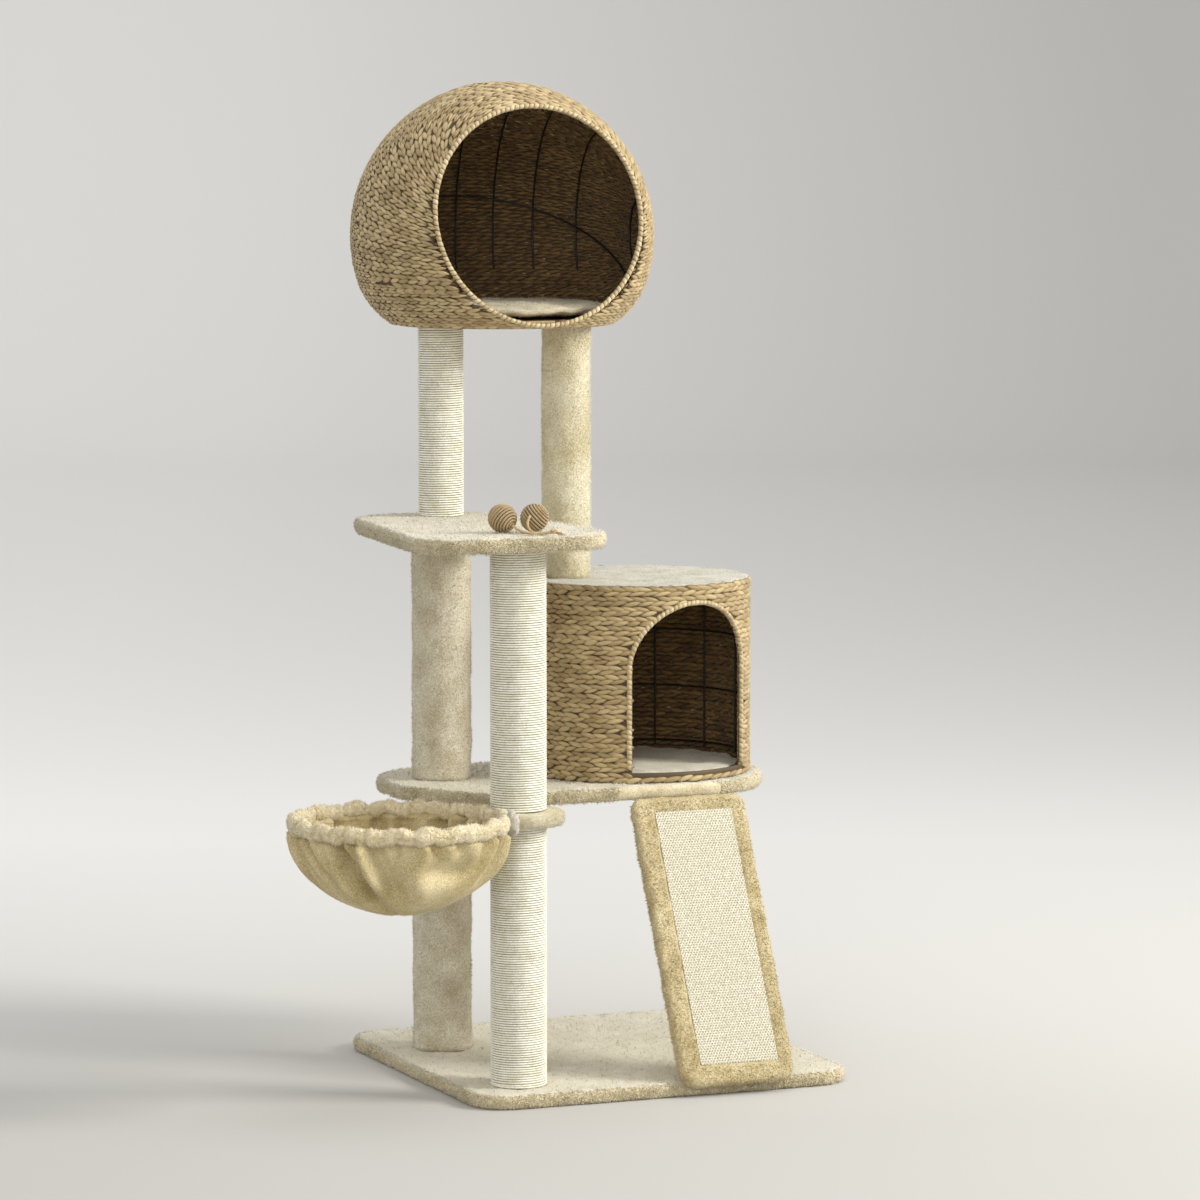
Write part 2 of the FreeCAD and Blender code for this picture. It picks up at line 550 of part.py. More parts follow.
def cord(route):
    """Tube along straight runs joined by tangent arcs, and its length."""
    edges, start, radii = [], route[0], []
    for i in range(1, len(route) - 1):
        here = route[i]
        back, on = route[i - 1] - here, route[i + 1] - here
        run = min(back.Length, on.Length)
        back.normalize()
        on.normalize()
        half_turn = (math.pi - back.getAngle(on)) / 2
        radius = 0.45 * run / math.tan(half_turn)
        reach = 0.45 * run
        first, last = here + back * reach, here + on * reach
        middle = (back + on).normalize()
        mid = here + middle * (radius / math.cos(half_turn) - radius)
        edges.append(Part.LineSegment(start, first).toShape())
        edges.append(Part.Arc(first, mid, last).toShape())
        start = last
        radii.append(round(radius, 1))
    edges.append(Part.LineSegment(start, route[-1]).toShape())
    path = Part.Wire(edges)
    along = (route[1] - route[0]).normalize()
    section = Part.Wire([Part.Circle(route[0], along, CORD_R).toShape()])
    tube = path.makePipeShell([section], True, False)
    expected = path.Length * math.pi * CORD_R ** 2
    print("cord radii", radii, "length", round(path.Length, 1),
          "volume ratio", round(tube.Volume / expected, 4))
    return tube


lie = rest_z + CORD_R
knot_centre = Vector(-200, -317, rest_z + 6.0)
left_route = [Vector(-249, -264.5, 911), Vector(-244, -276, 904.5), Vector(-235, -290, lie + 0.3),
              Vector(-223, -303, lie), Vector(-210, -312, lie + 0.6), Vector(-204.5, -314.5, 903.5)]
right_route = [Vector(-223, -273, 926), Vector(-230, -280, 919), Vector(-232.5, -286.5, 910),
               Vector(-227, -292, lie + 1.2), Vector(-216, -297, lie),
               Vector(-207, -305, lie + 0.8), Vector(-202.5, -312, 904)]
KNOT_R = 6.0
knot = Part.makeSphere(KNOT_R, knot_centre)
balls = group([Part.makeSphere(BALL_R, c) for c in ball_centres])
for name, route in (("toy_cord_left", left_route), ("toy_cord_right", right_route)):
    tube = cord(route)
    save(name, max(tube.cut(balls).cut(knot).Solids, key=lambda s: s.Volume))
for toward in (Vector(1, -0.1, -0.28), Vector(0.75, -0.75, -0.3)):
    knot = knot.fuse(Part.makeCone(1.6, 2.6, 13.0, knot_centre, toward))
save("toy_knot", knot.removeSplitter())
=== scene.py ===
import json
import math
import bpy
import numpy as np
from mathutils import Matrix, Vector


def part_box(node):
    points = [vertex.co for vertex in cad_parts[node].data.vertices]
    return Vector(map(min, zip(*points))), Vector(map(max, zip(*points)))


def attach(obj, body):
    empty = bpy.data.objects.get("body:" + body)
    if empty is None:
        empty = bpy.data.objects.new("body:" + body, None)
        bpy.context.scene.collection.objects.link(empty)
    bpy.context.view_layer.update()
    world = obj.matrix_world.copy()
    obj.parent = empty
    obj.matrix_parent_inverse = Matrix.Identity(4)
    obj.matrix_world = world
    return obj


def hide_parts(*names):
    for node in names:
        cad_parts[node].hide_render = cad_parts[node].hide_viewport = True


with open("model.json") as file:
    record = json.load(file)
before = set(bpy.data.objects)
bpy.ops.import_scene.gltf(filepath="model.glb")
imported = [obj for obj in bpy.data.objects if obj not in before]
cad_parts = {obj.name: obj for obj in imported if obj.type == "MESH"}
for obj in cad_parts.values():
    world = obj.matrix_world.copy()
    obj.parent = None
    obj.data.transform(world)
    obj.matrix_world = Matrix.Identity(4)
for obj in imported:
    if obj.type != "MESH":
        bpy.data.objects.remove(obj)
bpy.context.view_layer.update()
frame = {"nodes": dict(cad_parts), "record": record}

# ---------------------------------------------------------------- camera
# A long lens at eye height, a little to the left of the tree, looking slightly down.
lens = bpy.data.cameras.new("camera")
lens.lens, lens.sensor_width, lens.clip_end = 161.15, 36.0, 60.0
camera = bpy.data.objects.new("camera", lens)
camera.location = (-3.3214, -7.9996, 1.5962)
camera.rotation_euler = (math.radians(84.5), 0.0, math.radians(-22.6))
bpy.context.scene.collection.objects.link(camera)
bpy.context.scene.camera = camera


# ---------------------------------------------------------------- ball toy: cords
# Two limp jute cords, 4 mm thick and 7 cm long, leave the balls and end together
# in one frayed overhand knot on the shelf's edge.
def linear(code):
    """sRGB hex colour as linear RGBA: a power of 2.4 above a short straight toe."""
    parts = [int(code[i:i + 2], 16) / 255.0 for i in (1, 3, 5)]
    return tuple(c / 12.92 if c < 0.04045 else ((c + 0.055) / 1.055) ** 2.4
                 for c in parts) + (1.0,)


def add(tree, kind, settings={}, values={}, wires={}):
    """Adds a node, sets its properties and input values, and links its inputs."""
    made = tree.nodes.new(kind)
    for key, value in settings.items():
        setattr(made, key, value)
    for key, value in values.items():
        made.inputs[key].default_value = value
    for key, wire in wires.items():
        tree.links.new(wire, made.inputs[key])
    return made


def new_finish(name, roughness, sheen=0.0, metallic=0.0, tint="#FFFFFF"):
    """Empty material with one surface shader whose constant values are set on it."""
    finish = bpy.data.materials.new(name)
    finish.use_nodes = True
    shader = finish.node_tree.nodes["Principled BSDF"]
    shader.inputs["Roughness"].default_value = roughness
    shader.inputs["Metallic"].default_value = metallic
    shader.inputs["Sheen Weight"].default_value = sheen
    shader.inputs["Sheen Roughness"].default_value = 0.45
    shader.inputs["Sheen Tint"].default_value = linear(tint)
    return finish, finish.node_tree, shader


def twisted_fibre(name, dark, light, grain_mm, roughness=0.85, bump=0.5):
    """Dry plant fibre twisted into string: two tones in short streaks, matt."""
    finish, tree, shader = new_finish(name, roughness, sheen=0.15)
    place = add(tree, "ShaderNodeTexCoord")
    streak = add(tree, "ShaderNodeTexNoise", {}, {"Scale": 1000.0 / grain_mm, "Detail": 4.0,
                 "Roughness": 0.7, "Distortion": 0.6}, {"Vector": place.outputs["Object"]})
    patch = add(tree, "ShaderNodeTexNoise", {}, {"Scale": 60.0, "Detail": 2.0},
                {"Vector": place.outputs["Object"]})
    both = add(tree, "ShaderNodeMath", {"operation": "MULTIPLY_ADD"}, {1: 0.75},
               {0: streak.outputs["Fac"], 2: add(tree, "ShaderNodeMath", {"operation": "MULTIPLY"},
                {1: 0.25}, {0: patch.outputs["Fac"]}).outputs[0]})
    tone = add(tree, "ShaderNodeMapRange", {}, {"From Min": 0.36, "From Max": 0.62},
               {"Value": both.outputs[0]})
    colour = add(tree, "ShaderNodeMix", {"data_type": "RGBA"},
                 {6: linear(dark), 7: linear(light)}, {0: tone.outputs[0]})
    relief = add(tree, "ShaderNodeBump", {}, {"Strength": bump, "Distance": 0.0006},
                 {"Height": streak.outputs["Fac"]})
    tree.links.new(colour.outputs[2], shader.inputs["Base Color"])
    tree.links.new(relief.outputs[0], shader.inputs["Normal"])
    return finish


jute = twisted_fibre("jute_twine", "#7A6440", "#BBA47C", 1.6)
cord_finish = twisted_fibre("jute_cord", "#8A7048", "#D0B586", 1.6)
lie = 0.9003
cord_routes = {
    "toy_cord_left": [(-.249, -.2645, .911), (-.244, -.276, .9045), (-.235, -.290, lie + .0003),
                      (-.223, -.303, lie), (-.210, -.312, lie + .0006), (-.2045, -.3145, .9035)],
    "toy_cord_right": [(-.223, -.273, .926), (-.230, -.280, .919), (-.2325, -.2865, .910),
                       (-.227, -.292, lie + .0012), (-.216, -.297, lie),
                       (-.207, -.305, lie + .0008), (-.2025, -.312, .904)],
}
cord_pieces = {}
for node, route in cord_routes.items():
    curve = bpy.data.curves.new(node + "_twine", "CURVE")
    curve.dimensions, curve.resolution_u = "3D", 12
    curve.bevel_depth, curve.bevel_resolution, curve.use_fill_caps = 0.002, 4, True
    line = curve.splines.new("NURBS")
    line.points.add(len(route) - 1)
    line.points.foreach_set("co", [c for p in route for c in (*p, 1.0)])
    line.order_u, line.use_endpoint_u = 3, True
    piece = bpy.data.objects.new(node + "_twine", curve)
    bpy.context.scene.collection.objects.link(piece)
    curve.materials.append(cord_finish)
    cord_pieces[node] = piece


# ---------------------------------------------------------------- ball toy: balls and knot
# Two balls, 46 mm across, of jute string wound round and round a light core,
# and the cords' knot with its two frayed ends.
def make_piece(name, points, face_sets, finish, body, stands_for=(), tags={}):
    """Mesh piece at the origin from points and lists of equal-sided faces; tags are values
    per point. It is smooth-shaded, rides on a body and stands for the named CAD nodes."""
    mesh = bpy.data.meshes.new(name)
    corners = np.concatenate([f.ravel() for f in face_sets]).astype(np.int32)
    sides = np.concatenate([np.full(len(f), f.shape[1]) for f in face_sets]).astype(np.int32)
    mesh.vertices.add(len(points))
    mesh.vertices.foreach_set("co", np.asarray(points, np.float32).ravel())
    mesh.loops.add(len(corners))
    mesh.loops.foreach_set("vertex_index", corners)
    mesh.polygons.add(len(sides))
    mesh.polygons.foreach_set("loop_start", np.cumsum(sides) - sides)
    mesh.polygons.foreach_set("loop_total", sides)
    mesh.polygons.foreach_set("use_smooth", np.ones(len(sides), bool))
    for key, values in tags.items():
        kind = "FLOAT" if np.ndim(values) == 1 else "FLOAT_VECTOR"
        layer = mesh.attributes.new(key, kind, "POINT")
        layer.data.foreach_set("value" if kind == "FLOAT" else "vector",
                               np.asarray(values, np.float32).ravel())
    mesh.update(calc_edges=True)
    mesh.validate()
    mesh.materials.append(finish)
    piece = bpy.data.objects.new(name, mesh)
    bpy.context.scene.collection.objects.link(piece)
    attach(piece, body)
    if stands_for:
        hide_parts(*stands_for)
    return piece


def close_tubes(rings):
    """Points and faces of many closed tubes: rings[tube, station, around] are its points,
    turning from the first side axis to the second, and each end is closed by a fan."""
    count, stations, around = rings.shape[:3]
    ends = rings[:, [0, -1]].mean(axis=2)
    points = np.concatenate([rings.reshape(count, -1, 3), ends], axis=1).reshape(-1, 3)
    start = np.arange(count)[:, None] * (stations * around + 2)
    j = np.arange(around)
    k = (j + 1) % around
    row = np.arange(stations - 1)[:, None] * around
    quads = np.stack([row + j, row + k, row + around + k, row + around + j], -1).reshape(1, -1, 4)
    head, last = stations * around, (stations - 1) * around
    fans = np.concatenate([np.stack([np.full(around, head), k, j], -1),
                           np.stack([np.full(around, head + 1), last + j, last + k], -1)])
    return points, [(quads + start[..., None]).reshape(-1, 4),
                    (fans[None] + start[..., None]).reshape(-1, 3)]


def sweep(path, side, half_width, half_height, around):
    """Tube with an oval section carried along a path. The section's first axis is the side
    direction squared up to the path, its second axis the path's direction crossed with it."""
    along = np.gradient(path, axis=0)
    along /= np.linalg.norm(along, axis=1, keepdims=True)
    first = side - along * np.sum(side * along, axis=1, keepdims=True)
    first /= np.linalg.norm(first, axis=1, keepdims=True)
    second = np.cross(along, first)
    turn = np.arange(around) / around * 2 * np.pi
    reach = np.ones(len(path))
    a = (half_width * reach)[:, None, None] * np.cos(turn)[None, :, None] * first[:, None]
    b = (half_height * reach)[:, None, None] * np.sin(turn)[None, :, None] * second[:, None]
    return path[:, None] + a + b


ball_r, string_r, turns = 0.0229, 0.0019, 14
ball_parts, ball_faces, ball_offset = [], [], 0
for centre, axis in (((-.258, -.245, .9213), (0.45, -0.75, -0.48)),
                     ((-.208, -.255, .9213), (0.62, -0.35, 0.70))):
    axis = np.array(axis) / np.linalg.norm(axis)
    a = np.cross(axis, (0.0, 0.0, 1.0))
    a /= np.linalg.norm(a)
    b = np.cross(axis, a)
    # a string wound from pole to pole: the polar angle grows evenly with the turns
    polar = np.linspace(0.03, np.pi - 0.03, turns * 40)
    turn = polar / np.pi * turns * 2 * np.pi
    out = (np.cos(polar)[:, None] * axis + np.sin(polar)[:, None]
           * (np.cos(turn)[:, None] * a + np.sin(turn)[:, None] * b))
    rings = sweep(np.array(centre) + out * (ball_r - string_r), out, string_r, string_r * 1.02, 7)
    points, faces = close_tubes(rings[None])
    ball_parts.append(points)
    ball_faces += [f + ball_offset for f in faces]
    ball_offset += len(points)
make_piece("toy_ball_windings", np.concatenate(ball_parts), ball_faces, jute, "toy",
           ["toy_ball_wraps"])

knot_at = np.array((-0.200, -0.317, 0.9043))
s = np.linspace(0, 2 * np.pi, 90)
# an overhand knot's loop: a circle walked twice while it weaves in and out three times
trefoil = np.stack([np.sin(s) + 2 * np.sin(2 * s), np.cos(s) - 2 * np.cos(2 * s),
                    -1.2 * np.sin(3 * s)], -1) * 0.00155
knot_points, knot_faces = close_tubes(sweep(knot_at + trefoil * (1.15, 0.9, 0.95),
                                            np.tile((0.1, 0.2, 1.0), (90, 1)),
                                            0.0019, 0.0019, 8)[None])
rng = np.random.default_rng(3)
strands = 46
lead = np.repeat([(1.0, -0.1, -0.28), (0.75, -0.75, -0.3)], strands // 2, axis=0)
lead += rng.normal(0, 0.13, (strands, 3))
t = np.linspace(0.1, 1, 5)
reach = rng.uniform(0.011, 0.0155, strands)
# each loose fibre runs out from the knot and drops a little as the square of its length
paths = knot_at + lead[:, None] * (t * reach[:, None])[..., None]
paths[..., 2] = np.maximum(paths[..., 2] - 0.0015 * t ** 2, 0.8988)
fibre = 0.00032 * (1.3 - t)
rings = np.stack([sweep(p, np.tile((0.0, 0.1, 1.0), (5, 1)), fibre, fibre, 4) for p in paths])
fray_points, fray_faces = close_tubes(rings)
knot = make_piece("toy_knot_frayed", np.concatenate([knot_points, fray_points]),
                  knot_faces + [f + len(knot_points) for f in fray_faces],
                  cord_finish, "toy", ["toy_knot"])
for node, length, partner in (("toy_cord_left", 0.071, [knot]), ("toy_cord_right", 0.067, [])):
    piece = cord_pieces[node]
    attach(piece, "toy")
    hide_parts(node)


# ---------------------------------------------------------------- plush boards
# Base, platform, shelf and clamp disc: particle board wrapped in short-pile plush, pulled
# round the edges and stapled below. The pile is brushed greyish beige with cream tips.
def rounded_outline(corners, step=0.007):
    """Closed outline in metres through (x, y, radius) corners in mm, each rounded by an arc:
    points a step apart, and their outward normals."""
    points, normals = [], []
    xy = np.array([(x, y) for x, y, _ in corners]) / 1000.0
    ends = []
    for i, (_, _, r) in enumerate(corners):
        r = r / 1000.0
        back = (xy[i - 1] - xy[i]) / np.linalg.norm(xy[i - 1] - xy[i])
        on = (xy[(i + 1) % len(xy)] - xy[i]) / np.linalg.norm(xy[(i + 1) % len(xy)] - xy[i])
        half = math.acos(np.clip(back @ on, -1, 1)) / 2
        middle = (back + on) / np.linalg.norm(back + on)
        centre = xy[i] + middle * r / math.sin(half)
        n0, n1 = np.array((-back[1], back[0])), np.array((on[1], -on[0]))
        a0, a1 = math.atan2(n0[1], n0[0]), math.atan2(n1[1], n1[0])
        sweep_by = (a1 - a0) % (2 * math.pi)
        n = max(3, int(sweep_by * r / step) + 1)
        a = a0 + sweep_by * np.linspace(0, 1, n)
        normal = np.stack([np.cos(a), np.sin(a)], -1)
        ends.append((centre + normal * r, normal))
    for i, (arc, normal) in enumerate(ends):
        nxt = ends[(i + 1) % len(ends)][0][0]
        points.append(arc)
        normals.append(normal)
        run = np.linalg.norm(nxt - arc[-1])
        n = int(run / step)
        if n > 1:
            k = (np.arange(1, n) / n)[:, None]
            points.append(arc[-1] + (nxt - arc[-1]) * k)
            normals.append(np.repeat(normal[-1:], n - 1, axis=0))
    return np.concatenate(points), np.concatenate(normals)


def waves(points, size, seed, count=14):
    """Gentle bumps of about one size: the mean of plane waves in random directions."""
    rng = np.random.default_rng(seed)
    ways = rng.normal(0, 1, (count, 3))
    ways *= (2 * np.pi / size) * rng.uniform(0.6, 1.4, (count, 1)) / np.linalg.norm(
        ways, axis=1, keepdims=True)
    return np.sin(points @ ways.T + rng.uniform(0, 6.28, count)).sum(axis=1) / math.sqrt(count)


def grow_pile(points, quads, count, length, seed, thick=0.0005, lean=0.55, keep=None):
    """Tufts of pile: thin three-sided spikes standing on a surface, spread by face area,
    each leaning a random way. Returns points, triangles and a shade per point."""
    rng = np.random.default_rng(seed)
    a, b, c, d = (points[quads[:, i]] for i in range(4))
    cross = np.cross(c - a, d - b)
    area = np.linalg.norm(cross, axis=1)
    normal = cross / np.maximum(area, 1e-12)[:, None]
    if keep is not None:
        area = area * keep((a + c) / 2)
    pick = rng.choice(len(quads), count, p=area / area.sum())
    u, v = rng.uniform(0, 1, (2, count, 1))
    root = (a[pick] * (1 - u) + b[pick] * u) * (1 - v) + (d[pick] * (1 - u) + c[pick] * u) * v
    n = normal[pick]
    way = n + rng.normal(0, lean, (count, 3))
    way /= np.linalg.norm(way, axis=1, keepdims=True)
    way += n * np.maximum(0.25 - np.sum(way * n, axis=1), 0)[:, None]
    side = np.cross(way, rng.normal(0, 1, (count, 3)))
    side /= np.linalg.norm(side, axis=1, keepdims=True)
    other = np.cross(way, side)
    turn = np.arange(3) * 2 * np.pi / 3
    ring = (root - n * 0.0008)[:, None] + thick * (np.cos(turn)[None, :, None] * side[:, None]
                                                  + np.sin(turn)[None, :, None] * other[:, None])
    tip = root + way * (length * rng.uniform(0.5, 1.1, (count, 1)))
    spikes = np.concatenate([ring, tip[:, None]], axis=1).reshape(-1, 3)
    base = np.arange(count)[:, None, None] * 4
    faces = (np.array([[0, 2, 1], [0, 1, 3], [1, 2, 3], [2, 0, 3]])[None] + base).reshape(-1, 3)
    shade = np.repeat(rng.uniform(0, 1, count), 4)
    shade[3::4] = np.minimum(shade[3::4] + 0.45, 1.4)
    return spikes, faces, shade


def plush_piece(name, points, face_sets, finish, body, stands_for, tufts, length, seed,
                keep=None, thick=0.0005, lit_side_below=-1.0):
    """Surface with its pile in one piece. The cloth itself has shade 0.35, and the tag edge goes
    from 0 to 1 in the 3 mm below a height, where the board's side gets painted light: creamier
    colours than the top."""
    spikes, faces, shade = grow_pile(points, face_sets[0], tufts, length, seed, thick, keep=keep)
    every = np.concatenate([points, spikes])
    every[:, 2] = np.maximum(every[:, 2], 0.0002)        # pile never goes into the floor
    # mask for painted light: 1 on the board's side, where the creamier side colours go
    edge = np.clip((lit_side_below - every[:, 2]) / 0.003, 0, 1)
    return make_piece(name, every, face_sets + [faces + len(points)], finish, body,
                      stands_for, {"shade": np.concatenate([np.full(len(points), 0.35), shade]),
                                   "edge": edge})


def plush(name, dark, light, blotch_mm=45.0, speck_mm=2.4, roughness=0.9, sheen=0.25,
          low=0.42, high=0.68, lit_side_dark=None, lit_side_light=None):
    """Short-pile polyester plush: matt, with a soft sheen at the edges, brushed blotches a
    few centimetres wide and specks the size of a tuft. Speck size is drawn at twice life."""
    finish, tree, shader = new_finish(name, roughness, sheen, tint=light)
    place = add(tree, "ShaderNodeTexCoord")
    brushed = add(tree, "ShaderNodeTexNoise", {}, {"Scale": 1000.0 / blotch_mm, "Detail": 3.0,
                  "Roughness": 0.55}, {"Vector": place.outputs["Object"]})
    tuft = add(tree, "ShaderNodeTexNoise", {}, {"Scale": 1000.0 / speck_mm, "Detail": 3.0,
               "Roughness": 0.7}, {"Vector": place.outputs["Object"]})
    shade = add(tree, "ShaderNodeAttribute", {"attribute_name": "shade"})
    level = add(tree, "ShaderNodeMath", {"operation": "MULTIPLY_ADD"}, {1: 0.55},
                {0: tuft.outputs["Fac"], 2: add(tree, "ShaderNodeMath",
                 {"operation": "MULTIPLY_ADD"}, {1: 0.28},
                 {0: brushed.outputs["Fac"], 2: add(tree, "ShaderNodeMath",
                  {"operation": "MULTIPLY"}, {1: 0.25},
                  {0: shade.outputs["Fac"]}).outputs[0]}).outputs[0]})
    tone = add(tree, "ShaderNodeMapRange", {}, {"From Min": low, "From Max": high},
               {"Value": level.outputs[0]})
    colour = add(tree, "ShaderNodeMix", {"data_type": "RGBA"},
                 {6: linear(dark), 7: linear(light)}, {0: tone.outputs[0]})
    # painted light: a board's sides, tagged edge, get their own creamier pair of colours, standing
    # in for how the light falls on the sides compared with the top
    if lit_side_dark:
        lit_side_colour = add(tree, "ShaderNodeMix", {"data_type": "RGBA"},
                     {6: linear(lit_side_dark), 7: linear(lit_side_light)}, {0: tone.outputs[0]})
        edge = add(tree, "ShaderNodeAttribute", {"attribute_name": "edge"})
        colour = add(tree, "ShaderNodeMix", {"data_type": "RGBA"}, {},
                     {0: edge.outputs["Fac"], 6: colour.outputs[2], 7: lit_side_colour.outputs[2]})
    relief = add(tree, "ShaderNodeBump", {}, {"Strength": 0.7, "Distance": 0.0015},
                 {"Height": tuft.outputs["Fac"]})
    tree.links.new(colour.outputs[2], shader.inputs["Base Color"])
    tree.links.new(relief.outputs[0], shader.inputs["Normal"])
    return finish


def board_surface(points, normals, low, high, edge, seed, lump=0.0007):
    """Rounded slab: from the middle of the underside out to the outline, round the edge in a
    half turn and back to the middle of the top. Lumps of pile move it along its normal."""
    inner = points - normals * edge
    middle = inner.mean(axis=0)
    flat = np.linspace(0.02, 1, 24)[:-1]
    turn = np.linspace(-np.pi / 2, np.pi / 2, 15)
    # quarter turns of the edge radius at the top and bottom, with an upright run between
    rise = np.where(turn < 0, low + edge * (1 + np.sin(turn)), high - edge * (1 - np.sin(turn)))
    rows = [np.column_stack([middle + (inner - middle) * k, np.full(len(inner), low)])
            for k in flat]
    rows += [np.column_stack([inner + normals * edge * math.cos(t), np.full(len(inner), z)])
             for t, z in zip(turn, rise)]
    rows += [np.column_stack([middle + (inner - middle) * k, np.full(len(inner), high)])
             for k in flat[::-1]]
    surface = np.stack(rows)
    up = np.concatenate([np.full(len(flat), -1.0), np.sin(turn), np.full(len(flat), 1.0)])
    side = np.sqrt(np.maximum(0, 1 - up ** 2))
    normal = np.concatenate([normals[None] * side[:, None, None],
                             np.broadcast_to(up[:, None, None], surface.shape[:2] + (1,))], -1)
    lumps = (waves(surface.reshape(-1, 3), 0.030, seed) * lump
             + waves(surface.reshape(-1, 3), 0.009, seed + 1) * lump * 0.6 - 0.0006)
    under = np.clip((surface[..., 2] - low) / 0.004, 0, 1).ravel()
    surface = surface.reshape(-1, 3) + normal.reshape(-1, 3) * (lumps * under)[:, None]
    return close_tubes(surface.reshape(1, len(rows), len(points), 3))


# the second pair of colours is painted light on the boards' sides
greige = plush("plush_greige", "#C0B9A4", "#E9E4D4", lit_side_dark="#B5A680", lit_side_light="#FBF0D2")
base_corners = [(-320, -316, 60), (320, -316, 60), (320, 316, 60), (-320, 316, 60)]
platform_corners = [(-212, -100, 28), (318, -100, 195), (318, 326, 195), (-318, 262, 145),
                    (-318, 52, 70)]
shelf_corners = [(-424, -335, 75), (-88, -335, 105), (-88, -110, 130), (-150, 182, 55),
                 (-364, 182, 100)]


def edge_heavy(low, high, worn=None):
    """Weight of pile: far denser on a board's edge than on its top, and none in a worn box,
    given by its lowest and highest corners."""
    def weight(at):
        thick = np.where(at[:, 2] > high - 0.002, 0.02, np.where(at[:, 2] < low + 0.0008, 0.0, 1.0))
        if worn is not None:
            thick = thick * ~np.all((at > worn[0]) & (at < worn[1]), axis=1)
        return thick
    return weight


# the ramp's end sweeps close past the platform's edge, where the pile is rubbed away
hinge_rub = np.array([(0.004, -0.110, 0.44), (0.214, -0.088, 0.48)])
for name, corners, top, seed in (("base", base_corners, 0.024, 1),
                                 ("platform", platform_corners, 0.469, 5),
                                 ("shelf", shelf_corners, 0.898, 9)):
    outline, normals = rounded_outline(corners)
    points, faces = board_surface(outline, normals, top - 0.024, top, 0.0100, seed)
    plush_piece(name + "_plush_cover", points, faces, greige, "root",
                [name + "_plush"], 22000, 0.0056, seed, edge_heavy(top - 0.024, top, hinge_rub),
                thick=0.0010, lit_side_below=top - 0.001)


# ---------------------------------------------------------------- plush posts
# Cardboard tubes wrapped in the same plush: greyish on the rear post, warmer on the right.
def plush_tube(x, y, low, high, radius, seed):
    """Upright cylinder grid with a brushed, slightly lumpy skin."""
    turn = np.arange(120) / 120 * 2 * np.pi
    height = np.linspace(low, high, int((high - low) / 0.006) + 2)
    way = np.stack([np.cos(turn), np.sin(turn), 0 * turn], -1)
    surface = way[None] * radius + np.stack(
        [np.full_like(height, x), np.full_like(height, y), height], -1)[:, None]
    bumps = (waves(surface.reshape(-1, 3), 0.045, seed) * 0.0006
             + waves(surface.reshape(-1, 3), 0.010, seed + 1) * 0.00035 - 0.0006)
    bumps = bumps.reshape(surface.shape[:2] + (1,))
    return close_tubes((surface + way[None] * bumps)[None])


rear_at, right_at, front_at = (-0.220, 0.122), (0.0, 0.124), (-0.226, -0.230)
post_plush = plush("plush_post", "#AFA385", "#F4EEDD")
warm_plush = plush("plush_warm", "#B3A67C", "#F4EFDC", blotch_mm=60.0)
for node, at, low, high, radius, finish, seed in (
        ("rear_post_lower_plush", rear_at, 0.024, 0.445, 0.048, post_plush, 21),
        ("rear_post_middle_plush", rear_at, 0.469, 0.874, 0.048, post_plush, 23),
        ("right_post_plush", right_at, 0.789, 1.205, 0.040, warm_plush, 25)):
    points, faces = plush_tube(*at, low, high, radius, seed)
    plush_piece(node + "_cover", points, faces, finish, "root", [node],
                12000, 0.0036, seed, thick=0.0006)


# ---------------------------------------------------------------- sisal posts
# Cream-white sisal rope, just under 4 mm thick, wound tightly turn on turn round the tubes.
def rope_winding(x, y, low, high, outer, seed, pitch=0.0038):
    """Helix of rope on a tube: it rises one pitch a turn, and its radius and height waver a
    little; the section is an oval as high as the pitch."""
    count = int(round((high - low) / pitch))
    turn = np.linspace(0, count * 2 * np.pi, count * 34)
    rope = pitch / 2
    # the first and the last turn lie flat on the boards
    z = np.clip(low - 0.6 * rope + (high - low + 1.2 * rope) * turn / turn[-1],
                low + 0.95 * rope, high - 0.95 * rope)
    rng = np.random.default_rng(seed)
    knots = rng.normal(0, 1, (3, count * 4 + 2))
    waver, slip, thin = (np.interp(turn, np.linspace(0, turn[-1], len(k)), k) for k in knots)
    radius = outer - 0.0020 + np.clip(waver, -2, 1.5) * 0.00009
    z = z + np.clip(slip, -2, 2) * 0.00006
    path = np.stack([x + radius * np.cos(turn), y + radius * np.sin(turn), z], -1)
    side = np.stack([np.cos(turn), np.sin(turn), 0 * turn], -1)
    return close_tubes(sweep(path, side, 0.0019, (rope * 0.86) * (1 + 0.04 * thin), 6)[None])


sisal = twisted_fibre("sisal_rope", "#D2CCAE", "#FEFDF4", 2.6, roughness=0.8, bump=0.5)
for node, at, low, high, outer, seed in (
        ("front_post_lower_rope", front_at, 0.024, 0.437, 0.045, 31),
        ("front_post_upper_rope", front_at, 0.461, 0.874, 0.045, 32),
        ("rear_post_upper_rope", rear_at, 0.898, 1.205, 0.0375, 33)):
    points, faces = rope_winding(*at, low, high, outer, seed)
    make_piece(node + "_winding", points, faces, sisal, "root", [node])


